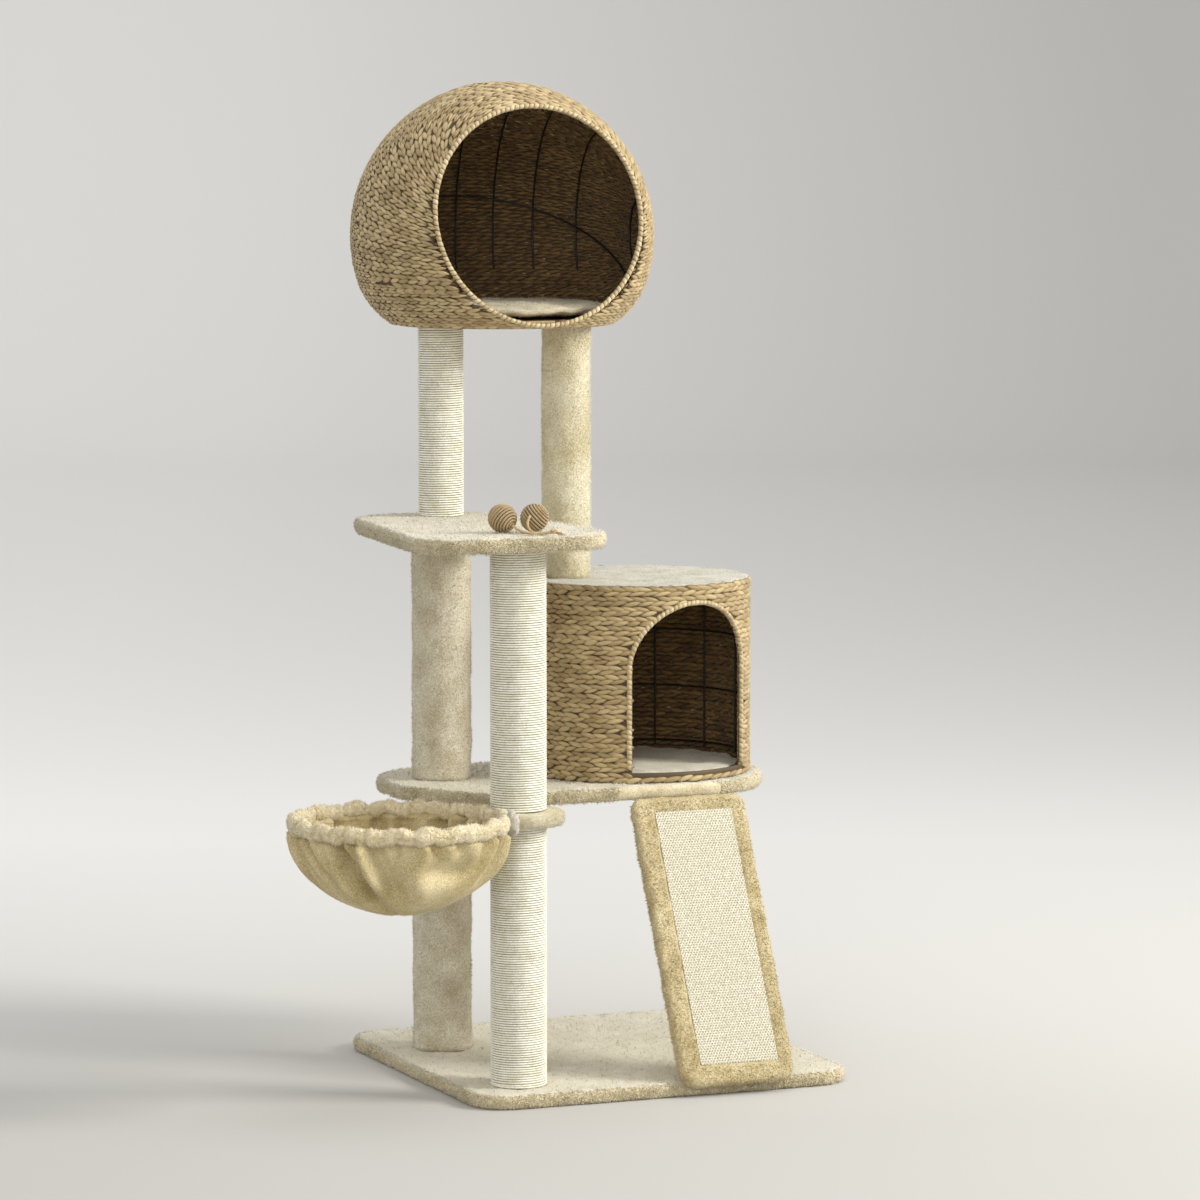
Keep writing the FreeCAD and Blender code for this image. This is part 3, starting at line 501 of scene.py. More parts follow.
# ---------------------------------------------------------------- condo
# Round den woven from flat dried-leaf strands over a wire frame. The strands lie in rows
# like a plait, each row a chevron that points to the right.
def leaf_stitches(at, along, out, length, width, thick, slant, lift, seed, stations=4, around=6):
    """Leaf-shaped stitches, one for each place: a strand that starts thin and deep, swells and
    rises to two thirds of its length and dives at its tip. slant is its slope across the row
    over its length. Returns points, faces and a tag of place along, round and chance."""
    rng = np.random.default_rng(seed)
    count = len(at)
    across = np.cross(out, along)
    t = np.linspace(-0.9, 0.9, stations)[None] * np.ones((count, 1))
    size = rng.normal(1, 0.09, (count, 1))
    long = length[:, None] * rng.normal(1, 0.07, (count, 1)) / 2
    # half width follows a leaf's outline, one minus the square of the place along it
    half = width[:, None] / 2 * size * (1 - 0.9 * np.abs(t) ** 2.2)
    rise = lift * (0.75 * t - 0.85 * t ** 2 + rng.normal(0, 0.12, (count, 1)))
    shift = slant[:, None] * (t * rng.normal(1, 0.12, (count, 1)) + rng.normal(0, 0.05, (count, 1)))
    core = (at[:, None] + along[:, None] * (t * long)[..., None]
            + across[:, None] * shift[..., None] + out[:, None] * rise[..., None])
    turn = np.arange(around) / around * 2 * np.pi
    # the direction of travel is along, so the first side axis is across, the second is out
    first = across[:, None, None] * (half[..., None] * np.cos(turn))[..., None]
    second = out[:, None, None] * ((thick * (0.35 + 0.65 * (1 - t ** 2)))[..., None]
                                   * np.sin(turn))[..., None]
    points, faces = close_tubes(core[:, :, None] + first + second)
    tag = np.zeros((count, stations * around + 2, 3))
    tag[:, :-2, 0] = np.repeat(t, around, axis=1)
    tag[:, -2, 0], tag[:, -1, 0] = -1, 1
    tag[:, :-2, 1] = np.tile(np.cos(turn), stations)
    tag[:, :, 2] = rng.uniform(0, 1, (count, 1))
    return points, faces, tag.reshape(-1, 3)


def leaf_strand(name, dark, light, gap, low=0.28, high=0.62):
    """Dried water-reed leaf, split and laid flat: satin, straw to tan, streaked along the strand,
    with painted shade at its ends and sides where a strand tucks under the next."""
    finish, tree, shader = new_finish(name, 0.62, sheen=0.1)
    tag = add(tree, "ShaderNodeAttribute", {"attribute_name": "leaf"})
    parts = add(tree, "ShaderNodeSeparateXYZ", {}, {}, {0: tag.outputs["Vector"]})
    # streaks run along the strand: the pattern is stretched five to one and moved by chance
    spread = add(tree, "ShaderNodeMath", {"operation": "MULTIPLY"}, {1: 97.0},
                 {0: parts.outputs[2]})
    flow = add(tree, "ShaderNodeCombineXYZ", {}, {}, {0: add(tree, "ShaderNodeMath",
               {"operation": "MULTIPLY"}, {1: 0.8}, {0: parts.outputs[0]}).outputs[0],
               1: add(tree, "ShaderNodeMath", {"operation": "MULTIPLY"}, {1: 3.2},
                      {0: parts.outputs[1]}).outputs[0], 2: spread.outputs[0]})
    streak = add(tree, "ShaderNodeTexNoise", {}, {"Scale": 1.6, "Detail": 4.0, "Roughness": 0.65},
                 {"Vector": flow.outputs[0]})
    place = add(tree, "ShaderNodeTexCoord")
    patch = add(tree, "ShaderNodeTexNoise", {}, {"Scale": 22.0, "Detail": 2.0},
                {"Vector": place.outputs["Object"]})
    level = add(tree, "ShaderNodeMath", {"operation": "MULTIPLY_ADD"}, {1: 0.5},
                {0: streak.outputs["Fac"], 2: add(tree, "ShaderNodeMath",
                 {"operation": "MULTIPLY_ADD"}, {1: 0.18},
                 {0: parts.outputs[2], 2: add(tree, "ShaderNodeMath", {"operation": "MULTIPLY"},
                  {1: 0.25}, {0: patch.outputs["Fac"]}).outputs[0]}).outputs[0]})
    tone = add(tree, "ShaderNodeMapRange", {}, {"From Min": low, "From Max": high},
               {"Value": level.outputs[0]})
    colour = add(tree, "ShaderNodeMix", {"data_type": "RGBA"},
                 {6: linear(dark), 7: linear(light)}, {0: tone.outputs[0]})
    # painted shade: a strand's ends and sides are mixed towards the dark gap colour, standing in
    # for the shade where strands tuck under each other
    ends = add(tree, "ShaderNodeMath", {"operation": "POWER"}, {1: 4.0},
               {0: add(tree, "ShaderNodeMath", {"operation": "ABSOLUTE"}, {},
                       {0: parts.outputs[0]}).outputs[0]})
    edge = add(tree, "ShaderNodeMath", {"operation": "POWER"}, {1: 6.0},
               {0: add(tree, "ShaderNodeMath", {"operation": "ABSOLUTE"}, {},
                       {0: parts.outputs[1]}).outputs[0]})
    tuck_shade = add(tree, "ShaderNodeMath", {"operation": "MULTIPLY", "use_clamp": True}, {1: 0.95},
                 {0: add(tree, "ShaderNodeMath", {"operation": "MAXIMUM"}, {},
                         {0: ends.outputs[0], 1: edge.outputs[0]}).outputs[0]})
    final = add(tree, "ShaderNodeMix", {"data_type": "RGBA"}, {7: linear(gap)},
                {0: tuck_shade.outputs[0], 6: colour.outputs[2]})
    relief = add(tree, "ShaderNodeBump", {}, {"Strength": 0.35, "Distance": 0.0006},
                 {"Height": streak.outputs["Fac"]})
    tree.links.new(final.outputs[2], shader.inputs["Base Color"])
    tree.links.new(relief.outputs[0], shader.inputs["Normal"])
    return finish


# the third colour of each leaf finish is the painted shade in the tucks between strands
leaf = leaf_strand("dried_leaf_strand", "#856B3F", "#CDB788", "#2C1E0B")
# a darker copy of the same leaf for the inside weaves: painted shade for the den's and the ball's
# shaded insides
leaf_inside_painted_shade = leaf_strand("dried_leaf_inside", "#553C1C", "#94733F", "#1C1206")
leaf_rim = leaf_strand("dried_leaf_rim", "#9C8254", "#DCCBA2", "#4E3B1C")

condo_at, condo_r = np.array((0.112, 0.106)), 0.193
door_way = math.radians(-80.0)
arch_half, arch_sill, arch_spring = 0.103, 0.489, 0.652


def inside_arch(aside, z, grow):
    """True where a place, its distance aside of the arch's middle and its height, lies in the
    arch: a rectangle below the spring line, a half circle above, both grown outwards."""
    below = (np.abs(aside) < arch_half + grow) & (z > arch_sill - grow) & (z <= arch_spring)
    above = (z > arch_spring) & (np.hypot(aside, z - arch_spring) < arch_half + grow)
    return below | above


def condo_rows(radius, facing, pitch, stitch, seed):
    """Places of two half rows of stitches for each row round the cylinder, each half a
    stitch on from the other; slant is down for the upper half and up for the lower."""
    rows = int(round(0.318 / pitch))
    per_row = int(round(2 * np.pi * radius / stitch))
    rng = np.random.default_rng(seed)
    row, k, half = np.meshgrid(np.arange(rows), np.arange(per_row), (0, 1), indexing="ij")
    row, k, half = row.ravel(), k.ravel(), half.ravel()
    start = rng.uniform(0, 1, rows)[row]
    turn = (k + start + 0.5 * half + rng.normal(0, 0.05, len(k))) * 2 * np.pi / per_row
    z = 0.470 + (row + 0.5 + np.where(half == 0, 0.24, -0.24)) * 0.318 / rows
    z = z + rng.normal(0, 0.0004, len(z))
    aside = np.abs((turn - door_way + np.pi) % (2 * np.pi) - np.pi)
    across_door = np.where(aside < 1.2, np.sin(np.minimum(aside, 1.5)) * radius, 1.0)
    keep = ~inside_arch(across_door, z, 0.0085)
    turn, z, half, aside, across_door = (v[keep] for v in (turn, z, half, aside, across_door))
    out = np.stack([np.cos(turn), np.sin(turn), 0 * turn], -1)
    along = np.stack([-np.sin(turn), np.cos(turn), 0 * turn], -1)
    at = out * radius + np.stack([*np.broadcast_arrays(*condo_at, z)], -1)
    slant = np.where(half == 0, -1.0, 1.0) * pitch * 0.17
    # a stitch that would run into the opening is shortened to reach its edge only
    beside = np.where((aside < 1.2) & (z > arch_sill - 0.012), across_door - arch_half, 1.0)
    above = np.where(aside < 1.2, np.hypot(across_door, z - arch_spring) - arch_half, 1.0)
    room = np.where(z > arch_spring, above, beside)
    long = np.minimum(stitch * 1.60, np.where(room > -0.002, 2 * (room + 0.003), 1.0))
    return at, along, out * facing, slant, pitch, np.maximum(long, 0.010)


at, along, out, slant, pitch, long = condo_rows(0.1903, 1, 0.0159, 0.0215, 41)
points, faces, tag = leaf_stitches(at, along, out, long, np.full(len(at), pitch * 0.61),
                                   0.0029, slant, 0.0021, 42, stations=5)
make_piece("condo_weave_outside", points, faces, leaf, "root",
           ["condo_woven_wall"], {"leaf": tag})
at, along, out, slant, pitch, long = condo_rows(0.1862, -1, 0.0159, 0.0215, 43)
points, faces, tag = leaf_stitches(at, -along, out, long, np.full(len(at), pitch * 0.60),
                                   0.0016, slant, 0.0009, 44, stations=4, around=4)
make_piece("condo_weave_inside", points, faces, leaf_inside_painted_shade, "root", (),
           {"leaf": tag})


def thin_wall(name, surface, drop, finish, body, masked):
    """Closed thin wall: a grid that wraps round, without the faces whose middle is masked,
    given its thickness inwards."""
    rows, cols = surface.shape[:2]
    i, j = np.meshgrid(np.arange(rows - 1), np.arange(cols), indexing="ij")
    k = (j + 1) % cols
    quads = np.stack([i * cols + j, i * cols + k, (i + 1) * cols + k, (i + 1) * cols + j],
                     -1).reshape(-1, 4)
    points = surface.reshape(-1, 3)
    quads = quads[~masked(points[quads].mean(axis=1))]
    used = np.unique(quads)
    renumber = np.full(len(points), -1)
    renumber[used] = np.arange(len(used))
    tag = np.zeros((len(used), 3)) + (0.0, 0.3, 0.35)
    piece = make_piece(name, points[used], [renumber[quads]], finish, body, (),
                       {"leaf": tag})
    wall = piece.modifiers.new("thickness", "SOLIDIFY")
    wall.thickness, wall.offset = drop, -1.0
    return piece


turn = np.arange(200) / 200 * 2 * np.pi
height = np.linspace(0.4695, 0.7875, 60)
surface = np.stack([condo_at[0] + 0.1893 * np.cos(turn)[None] + 0 * height[:, None],
                    condo_at[1] + 0.1893 * np.sin(turn)[None] + 0 * height[:, None],
                    height[:, None] + 0 * turn[None]], -1)


def in_condo_door(at):
    """True where a point of the wall lies in the door's opening."""
    away = np.arctan2(at[:, 1] - condo_at[1], at[:, 0] - condo_at[0]) - door_way
    away = np.abs((away + np.pi) % (2 * np.pi) - np.pi)
    return (away < 1.2) & inside_arch(np.sin(np.minimum(away, 1.5)) * condo_r, at[:, 2], 0.004)


# painted shade: a dark sheet between the outside and inside weaves, standing in for the shade seen
# through the gaps between strands
leaf_shade_sheet = leaf_strand("dried_leaf_core", "#3F3015", "#5E4A28", "#2A1E10")
thin_wall("condo_weave_shade_sheet", surface, 0.0018, leaf_shade_sheet, "root", in_condo_door)

# The arch's edge is bound with one long strand, wrapped round it turn by turn.
def wrap_coil(path, first, second, a, b, turns, wide, thick, seed):
    """Flat strand coiled round a closed or open path: its middle goes round an oval of half
    axes a and b as it moves along, and its flat side faces out of the oval."""
    rng = np.random.default_rng(seed)
    s = np.linspace(0, len(path) - 1, turns * 14)
    turn = s / s[-1] * turns * 2 * np.pi

    def at(values):
        return np.stack([np.interp(s, np.arange(len(path)), values[:, i]) for i in range(3)], -1)

    swell = 1 + 0.06 * np.interp(s, np.linspace(0, s[-1], turns), rng.normal(0, 1, turns))
    x, y = np.cos(turn)[:, None], np.sin(turn)[:, None]
    p, q = at(first), at(second)
    middle = at(path) + (p * x * a + q * y * b) * swell[:, None]
    out = p * x * b + q * y * a
    rings = sweep(middle, out, thick, wide, 6)
    points, faces = close_tubes(rings[None])
    tag = np.zeros((len(points), 3))
    # tags that the leaf finish turns into painted shade: darker at the strand's sides, where one
    # turn meets the next, and in a slow wave along the coil
    around = np.tile(np.sin(np.arange(6) / 6 * 2 * np.pi), len(s))
    tag[:-2, 0] = np.repeat(0.75 * np.sin(turn * 0.5), 6)
    tag[:-2, 1] = around * 1.02
    tag[:-2, 2] = np.repeat((np.floor(turn / (2 * np.pi) + 0.2) * 0.618) % 1, 6)
    return points, faces, tag


arch = [(arch_half, z) for z in np.linspace(arch_sill, arch_spring, 16)]
arch += [(arch_half * math.cos(t), arch_spring + arch_half * math.sin(t))
         for t in np.linspace(0, math.pi, 34)[1:-1]]
arch += [(-arch_half, z) for z in np.linspace(arch_spring, arch_sill, 16)]
arch = np.array(arch)
arch_out = np.concatenate([np.tile((1.0, 0.0), (16, 1)),
                           np.stack([np.cos(np.linspace(0, np.pi, 34)[1:-1]),
                                     np.sin(np.linspace(0, np.pi, 34)[1:-1])], -1),
                           np.tile((-1.0, 0.0), (16, 1))])
middle_line = arch + arch_out * 0.0050
turn = door_way + np.arcsin(np.clip(middle_line[:, 0] / 0.189, -1, 1))
radial = np.stack([np.cos(turn), np.sin(turn), 0 * turn], -1)
path = radial * 0.1893 + np.stack([*np.broadcast_arrays(*condo_at, middle_line[:, 1])], -1)
tangent = np.stack([-np.sin(turn), np.cos(turn), 0 * turn], -1)
outwards = tangent * arch_out[:, :1] + np.array((0, 0, 1.0)) * arch_out[:, 1:]
points, faces, tag = wrap_coil(path, outwards, radial, 0.0034, 0.0040, 84, 0.0044, 0.0011, 45)
make_piece("condo_door_wrapping", points, faces, leaf_rim, "root",
           ["condo_door_binding"], {"leaf": tag})

# Plush lid of the condo, a disc sunk in the woven rim, and the fleece pad on its floor.
condo_outline = np.stack([np.cos(np.arange(230) / 230 * 2 * np.pi),
                          np.sin(np.arange(230) / 230 * 2 * np.pi)], -1)
points, faces = board_surface(condo_at + condo_outline * 0.1885, condo_outline, 0.7828, 0.7904,
                              0.0036, 51, lump=0.0004)
lid_plush = plush("plush_lid", "#A8A392", "#E2DFD4")
plush_piece("condo_lid_plush", points, faces, lid_plush, "root",
            ["condo_top_plush"], 11000, 0.0030, 52, edge_heavy(0.7828, 0.7904))


# ---------------------------------------------------------------- ramp
# Plush-covered plank hinged under the platform, with a woven sisal mat let into its face.
ramp_slope = math.radians(63.8)
ramp_toe = np.array((0.109, -0.3194, 0.0104))


def on_ramp(points):
    """From the ramp's own directions, across, up the slope and out, to the frame."""
    c, s = math.cos(ramp_slope), math.sin(ramp_slope)
    x, y, z = points[..., 0], points[..., 1], points[..., 2]
    return np.stack([x, y * c - z * s, y * s + z * c], -1) + ramp_toe


mat_x, mat_y = (-0.063, 0.072), (0.033, 0.458)
outline, normals = rounded_outline([(-98, 0, 30), (98, 0, 30), (98, 484, 18), (-98, 484, 18)])
points, faces = board_surface(outline, normals, 0.0, 0.024, 0.0092, 61)
middle_x, middle_y = sum(mat_x) / 2, sum(mat_y) / 2
inset = np.maximum(np.abs(points[:, 0] - middle_x) - (mat_x[1] - mat_x[0]) / 2,
                   np.abs(points[:, 1] - middle_y) - (mat_y[1] - mat_y[0]) / 2)
top_side = points[:, 2] > 0.02
points[:, 2] -= np.where(top_side, 0.0042 * np.clip(0.5 - inset / 0.005, 0, 1), 0)
ramp_plush = plush("plush_ramp", "#A08C5C", "#E6DAB6")
spikes_keep = lambda at: np.where((at[:, 2] > 0.012)
                                  & (np.abs(at[:, 0] - middle_x) < 0.069)
                                  & (np.abs(at[:, 1] - middle_y) < 0.214)
                                  | (at[:, 1] > 0.472), 0.0, 1.0)
spikes, spike_faces, shade = grow_pile(points, faces[0], 20000, 0.0044, 62, 0.0009,
                                       keep=spikes_keep)
ramp_points = on_ramp(np.concatenate([points, spikes]))
make_piece("ramp_plush_cover", ramp_points,
           faces + [spike_faces + len(points)], ramp_plush, "ramp",
           ["ramp_plush"], {"shade": np.concatenate([np.full(len(points), 0.35), shade])})


def closed_sheet(top, below):
    """Grid with its rim dropped straight to a lower height and closed there by a fan."""
    rows, cols = top.shape[:2]
    i, j = np.meshgrid(np.arange(rows - 1), np.arange(cols - 1), indexing="ij")
    a = i * cols + j
    quads = np.stack([a, a + 1, a + cols + 1, a + cols], -1).reshape(-1, 4)
    rim = np.concatenate([np.arange(cols), np.arange(1, rows) * cols + cols - 1,
                          (rows - 1) * cols + np.arange(cols - 2, -1, -1),
                          np.arange(rows - 2, 0, -1) * cols])
    flat = top.reshape(-1, 3)
    low = flat[rim] * (1, 1, 0) + (0, 0, below)
    k = np.arange(len(rim)) + len(flat)
    k_next = np.roll(k, -1)
    walls = np.stack([np.roll(rim, -1), rim, k, k_next], -1)
    fan = np.stack([np.full(len(rim), len(flat) + len(rim)), k_next, k], -1)
    return np.concatenate([flat, low, low.mean(axis=0)[None]]), [
        np.concatenate([quads, walls]), fan]


# Plain weave of two-strand sisal yarn: holes 4.9 mm apart, staggered from row to row, each sunk a
# little and painted dark as shade.
x = np.linspace(mat_x[0] + 0.0006, mat_x[1] - 0.0006, 118)
y = np.linspace(mat_y[0] + 0.0006, mat_y[1] - 0.0006, 372)
px, py = np.meshgrid(x, y)
yarn_x, yarn_y = 0.0049, 0.0041
row = np.floor(py / yarn_y)
to_x = np.abs((px / yarn_x + 0.5 * (row % 2)) % 1 - 0.5) * yarn_x
to_y = np.abs(py / yarn_y - row - 0.5) * yarn_y
hole_and_shade = np.exp(-((to_x / 0.0012) ** 2 + (to_y / 0.0011) ** 2))
knit = 0.0226 - 0.0011 * hole_and_shade + 0.00018 * np.sin(px * 900) * np.sin(py * 700)
points, faces = closed_sheet(np.stack([px, py, knit], -1), 0.0203)
mat_finish, tree, shader = new_finish("sisal_mat_weave", 0.85, sheen=0.1)
depth = add(tree, "ShaderNodeAttribute", {"attribute_name": "hole_and_shade"})
place = add(tree, "ShaderNodeTexCoord")
fleck = add(tree, "ShaderNodeTexNoise", {}, {"Scale": 420.0, "Detail": 3.0},
            {"Vector": place.outputs["Object"]})
tone = add(tree, "ShaderNodeMix", {"data_type": "RGBA"},
           {6: linear("#B4AD93"), 7: linear("#E2DDC9")},
           {0: add(tree, "ShaderNodeMapRange", {}, {"From Min": 0.35, "From Max": 0.6},
                   {"Value": fleck.outputs["Fac"]}).outputs[0]})
# painted shade: the holes are mixed towards dark brown, standing in for the shade in them
tone = add(tree, "ShaderNodeMix", {"data_type": "RGBA"}, {7: linear("#4A3C20")},
           {0: depth.outputs["Fac"], 6: tone.outputs[2]})
tree.links.new(tone.outputs[2], shader.inputs["Base Color"])
tree.links.new(add(tree, "ShaderNodeBump", {}, {"Strength": 0.5, "Distance": 0.0004},
                   {"Height": fleck.outputs["Fac"]}).outputs[0], shader.inputs["Normal"])
make_piece("ramp_sisal_mat_weave", on_ramp(points), faces, mat_finish, "ramp",
           ["ramp_sisal_mat"],
           {"hole_and_shade": np.concatenate([hole_and_shade.ravel(), np.zeros(len(points) - hole_and_shade.size)])})


# ---------------------------------------------------------------- hammock
# A plush bag gathered on a wire hoop that is clamped between two post sections. The cloth
# is bunched into deep folds under a thick rolled hem.
hoop_turn = math.radians(190.0)
hoop_at = np.array((-0.226, -0.230, 0.449)) + 0.2165 * np.array(
    (math.cos(hoop_turn), math.sin(hoop_turn), 0.0))
facing_turn = -112.6                     # the side that hangs free towards the room, degrees


def fold_depth(turn, down):
    """How far the cloth stands in or out, in metres. Each fold is a bell-shaped valley with a
    low ridge on each side: it starts at the hem at one place, leans as it goes down, and ends
    at its own depth. Small gathers fade in the first fifth, and a dent lies under the hem."""
    place = (np.degrees(turn) - facing_turn + 180.0) % 360.0 - 180.0
    depth = np.zeros(np.broadcast(turn, down).shape)
    rng = np.random.default_rng(77)
    folds = [(-80, 20, 5, 3.5, 0.45), (-70, 24, 7, 4.0, 0.60), (-58, 26, 8, 4.0, 0.65),
             (-47, 24, 7, 3.5, 0.50), (-37, 38, 13, 5.0, 1.00), (-25, 22, 8, 3.0, 0.42),
             (-12, 16, 9, 4.0, 0.55), (-2, 8, 8, 5.0, 0.75), (10, -4, 4, 3.0, 0.25),
             (22, 3, 3, 3.0, 0.18), (38, 6, 3, 3.5, 0.20), (60, -16, 3, 4.0, 0.30),
             (74, -12, 5, 4.0, 0.45)]
    folds += [(k, rng.uniform(-14, 14), rng.uniform(4, 8), rng.uniform(3, 5),
               rng.uniform(0.3, 0.8)) for k in np.arange(84, 268, 13) + rng.uniform(-3, 3, 15)]
    for start, lean, deep, wide, end in folds:
        off = (place - start - lean * down + 180.0) % 360.0 - 180.0
        off = off / (wide * (1 + 0.9 * down))
        lives = np.clip(down / 0.08, 0, 1) * np.clip((end - down) / (0.55 * end), 0, 1) ** 0.8
        valley = np.exp(-off ** 2) - 0.42 * np.exp(-(np.abs(off) - 1.9) ** 2)
        depth += -0.0030 * deep * lives * valley
    dent = np.exp(-((place - 34.0) / 17.0) ** 2 - ((down - 0.27) / 0.085) ** 2)
    pouch = np.exp(-((place - 16.0) / 24.0) ** 2 - ((down - 0.52) / 0.20) ** 2)
    seam = np.exp(-((down - 0.050) / 0.016) ** 2)
    lap = np.exp(-(down / 0.034) ** 2)        # where the cloth goes over the hoop
    return depth - 0.0230 * dent + 0.0110 * pouch - 0.0050 * seam + 0.0078 * lap


turn = np.arange(360) / 360 * 2 * np.pi
down = np.concatenate([np.linspace(0.0, 0.10, 10)[:-1], np.linspace(0.10, 0.985, 46)])[:, None]
angle = down * np.pi / 2


bag_radius, bag_depth = 0.163, 0.135


def bag_surface(drop):
    """Half an oval of the bag's radius and depth, drawn in by drop, with its folds."""
    flare = np.cos(angle) * (bag_radius - drop)
    r = np.maximum(flare + fold_depth(turn[None], down) * np.cos(angle) ** 0.3, 0.002)
    z = -(bag_depth - drop) * np.sin(angle) + 0 * turn[None]
    z = z + 0.006 * (1 - down) ** 3
    return np.stack([r * np.cos(turn), r * np.sin(turn), z], -1) + hoop_at


outer, inner = bag_surface(-0.001), bag_surface(0.0045)
# up the inside and down the outside, with a fan closing each end at the bottom
rings = np.concatenate([inner[::-1], outer])[None]
points, faces = close_tubes(rings[:, ::-1])
straw = plush("plush_straw", "#A5925E", "#ECDFBA", blotch_mm=60, speck_mm=2.2)
hem_plush = plush("plush_straw_hem", "#CDBD90", "#FFF5DC", blotch_mm=40, speck_mm=2.2)
bag = plush_piece("hammock_bag", points, faces, straw, "hammock",
                  ["hammock_bowl"], 14000, 0.0026, 78)

# The rolled hem over the hoop: a puffy ruffle, pinched by the drawcord every few centimetres.
ring_turn = np.arange(560) / 560 * 2 * np.pi
section = np.arange(22) / 22 * 2 * np.pi


def wavy(turn, parts):
    """Sum of whole-numbered waves round the hoop: (count, size, phase) each."""
    return sum(size * np.cos(k * turn + phase) for k, size, phase in parts)


rng = np.random.default_rng(79)
pinches = np.cumsum(rng.uniform(5.0, 12.5, 60))
pinches = pinches[pinches < 356]
off = (np.degrees(ring_turn)[:, None] - pinches[None] + 180) % 360 - 180
place = (pinches - facing_turn + 180) % 360 - 180
# the gathers are tight on the far left and the back, and slack to the right of the middle
tight = np.where((place > -14) & (place < 88), 0.42, 1.0) * rng.uniform(0.45, 1.0, len(pinches))
pinched = np.max(np.exp(-(off / 1.6) ** 2) * tight[None], axis=1)
in_out = wavy(ring_turn, ((19, .0006, .3), (27, .0006, 2.0), (11, .0008, 1.0)))
up_down = wavy(ring_turn, ((17, .0014, 2.3), (23, .0014, .2), (11, .0010, 1.7)))
puff = 1 + wavy(ring_turn, ((23, .05, 1.1), (13, .06, 3.1), (37, .04, .5)))
thick = (0.0086 * puff * (1 - 0.45 * pinched))[:, None]
tall = (0.0125 * puff * (1 - 0.34 * pinched))[:, None]
r = (0.1640 + in_out)[:, None] + thick * np.cos(section)[None]
z = (0.0064 + up_down)[:, None] + tall * np.sin(section)[None]
hem = np.stack([r * np.cos(ring_turn)[:, None], r * np.sin(ring_turn)[:, None], z], -1) + hoop_at
hem = hem + 0.0007 * waves(hem.reshape(-1, 3), 0.020, 81).reshape(560, 22, 1)
i, j = np.meshgrid(np.arange(560), np.arange(22), indexing="ij")
ni, nj = (i + 1) % 560, (j + 1) % 22
# round the hoop, then round the section: outward faces run hoop first, section second
hem_quads = np.stack([i * 22 + j, ni * 22 + j, ni * 22 + nj, i * 22 + nj], -1).reshape(-1, 4)
plush_piece("hammock_hem_ruffle", hem.reshape(-1, 3), [hem_quads], hem_plush, "hammock",
            (), 23000, 0.0042, 82, thick=0.0007)

# White fleece tuft that ties the hem beside the post, with its blank care label left off.
tie_low, tie_high = (np.array(v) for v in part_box("hammock_tie"))
tie_at, tie_r = (tie_low + tie_high) / 2, (tie_high - tie_low)[0] / 2
polar = np.linspace(0.08, np.pi - 0.08, 14)[:, None]
turn_ = np.arange(20)[None] / 20 * 2 * np.pi
ball = np.stack([np.sin(polar) * np.cos(turn_), np.sin(polar) * np.sin(turn_),
                 -np.cos(polar) + 0 * turn_], -1)
ball = ball * (tie_r * 1.35 * (1 + 0.18 * waves(ball.reshape(-1, 3), 1.1, 84).reshape(14, 20, 1)))
points, faces = close_tubes((tie_at + (-0.004, 0.0, 0.006) + ball * (0.9, 0.9, 1.6))[None])
fleece = plush("fleece_white", "#D9D0BC", "#F6F2E8", blotch_mm=30, speck_mm=1.8)
plush_piece("hammock_tie_tuft", points, faces, fleece, "hammock",
            ["hammock_tie"], 2600, 0.0045, 85)

# Plush-covered clamp disc between the two lengths of the front post.
disc_turn = np.arange(180) / 180 * 2 * np.pi
way = np.stack([np.cos(disc_turn), np.sin(disc_turn)], -1)
to_hoop = hoop_at[:2] - np.array(front_at)
# towards the hoop the disc is hollowed so that the hem fits: the ray meets the hem's circle
b = way @ to_hoop
gap = b ** 2 - (to_hoop @ to_hoop - 0.1720 ** 2)
meets = np.where((gap > 0) & (b > 0), b - np.sqrt(np.maximum(gap, 0)), 1.0)
rim = np.minimum(0.0735, meets)
outline = np.array(front_at) + way * rim[:, None]
tangent = np.roll(outline, -1, axis=0) - np.roll(outline, 1, axis=0)
normals = np.stack([tangent[:, 1], -tangent[:, 0]], -1)
normals /= np.linalg.norm(normals, axis=1, keepdims=True)
points, faces = board_surface(outline, normals, 0.4373, 0.4607, 0.0095, 91)
disc_plush = plush("plush_disc", "#B4A882", "#EAE4D0")
plush_piece("clamp_disc_cover", points, faces, disc_plush, "hammock",
            ["clamp_disc_plush"], 5000, 0.0034, 92, edge_heavy(0.4373, 0.4607))


# ---------------------------------------------------------------- globe
# Big woven ball with a flat foot and a round door. Rows start level at the foot and tip
# forward one after another until, at the top, they lie along the door's rim.
ball_at, ball_radius = np.array((-0.112, 0.124, 1.350)), 0.247
foot_z, foot_r, neck_z = -0.145, 0.176, -0.060
neck_r = math.sqrt(ball_radius ** 2 - neck_z ** 2)
run_r, run_z = neck_r - foot_r, neck_z - foot_z
knee = np.array((foot_r + run_r / 2 + run_z * 0.11, foot_z + run_z / 2 - run_r * 0.11))


def circle_through(p, q, s):
    """Centre and radius of the circle through three points of the plane."""
    rows = 2 * np.array([q - p, s - p])
    right = np.array([q @ q - p @ p, s @ s - p @ p])
    centre = np.linalg.solve(rows, right)
    return centre, np.linalg.norm(p - centre)


low_centre, low_radius = circle_through(np.array((neck_r, neck_z)), knee,
                                        np.array((foot_r, foot_z)))


def profile(z):
    """Outside radius of the ball at a height from its centre: a sphere, and below the neck
    an arc that tucks in to the foot."""
    round_part = np.sqrt(np.maximum(ball_radius ** 2 - z ** 2, 0))
    low_part = low_centre[0] + np.sqrt(np.maximum(low_radius ** 2 - (z - low_centre[1]) ** 2, 0))
    return np.where(z < neck_z, low_part, round_part)


tilt = math.radians(9.5)
door_out = np.array((0.0, -math.cos(tilt), math.sin(tilt)))
door_middle = np.array((0.0, -0.160, 0.035))


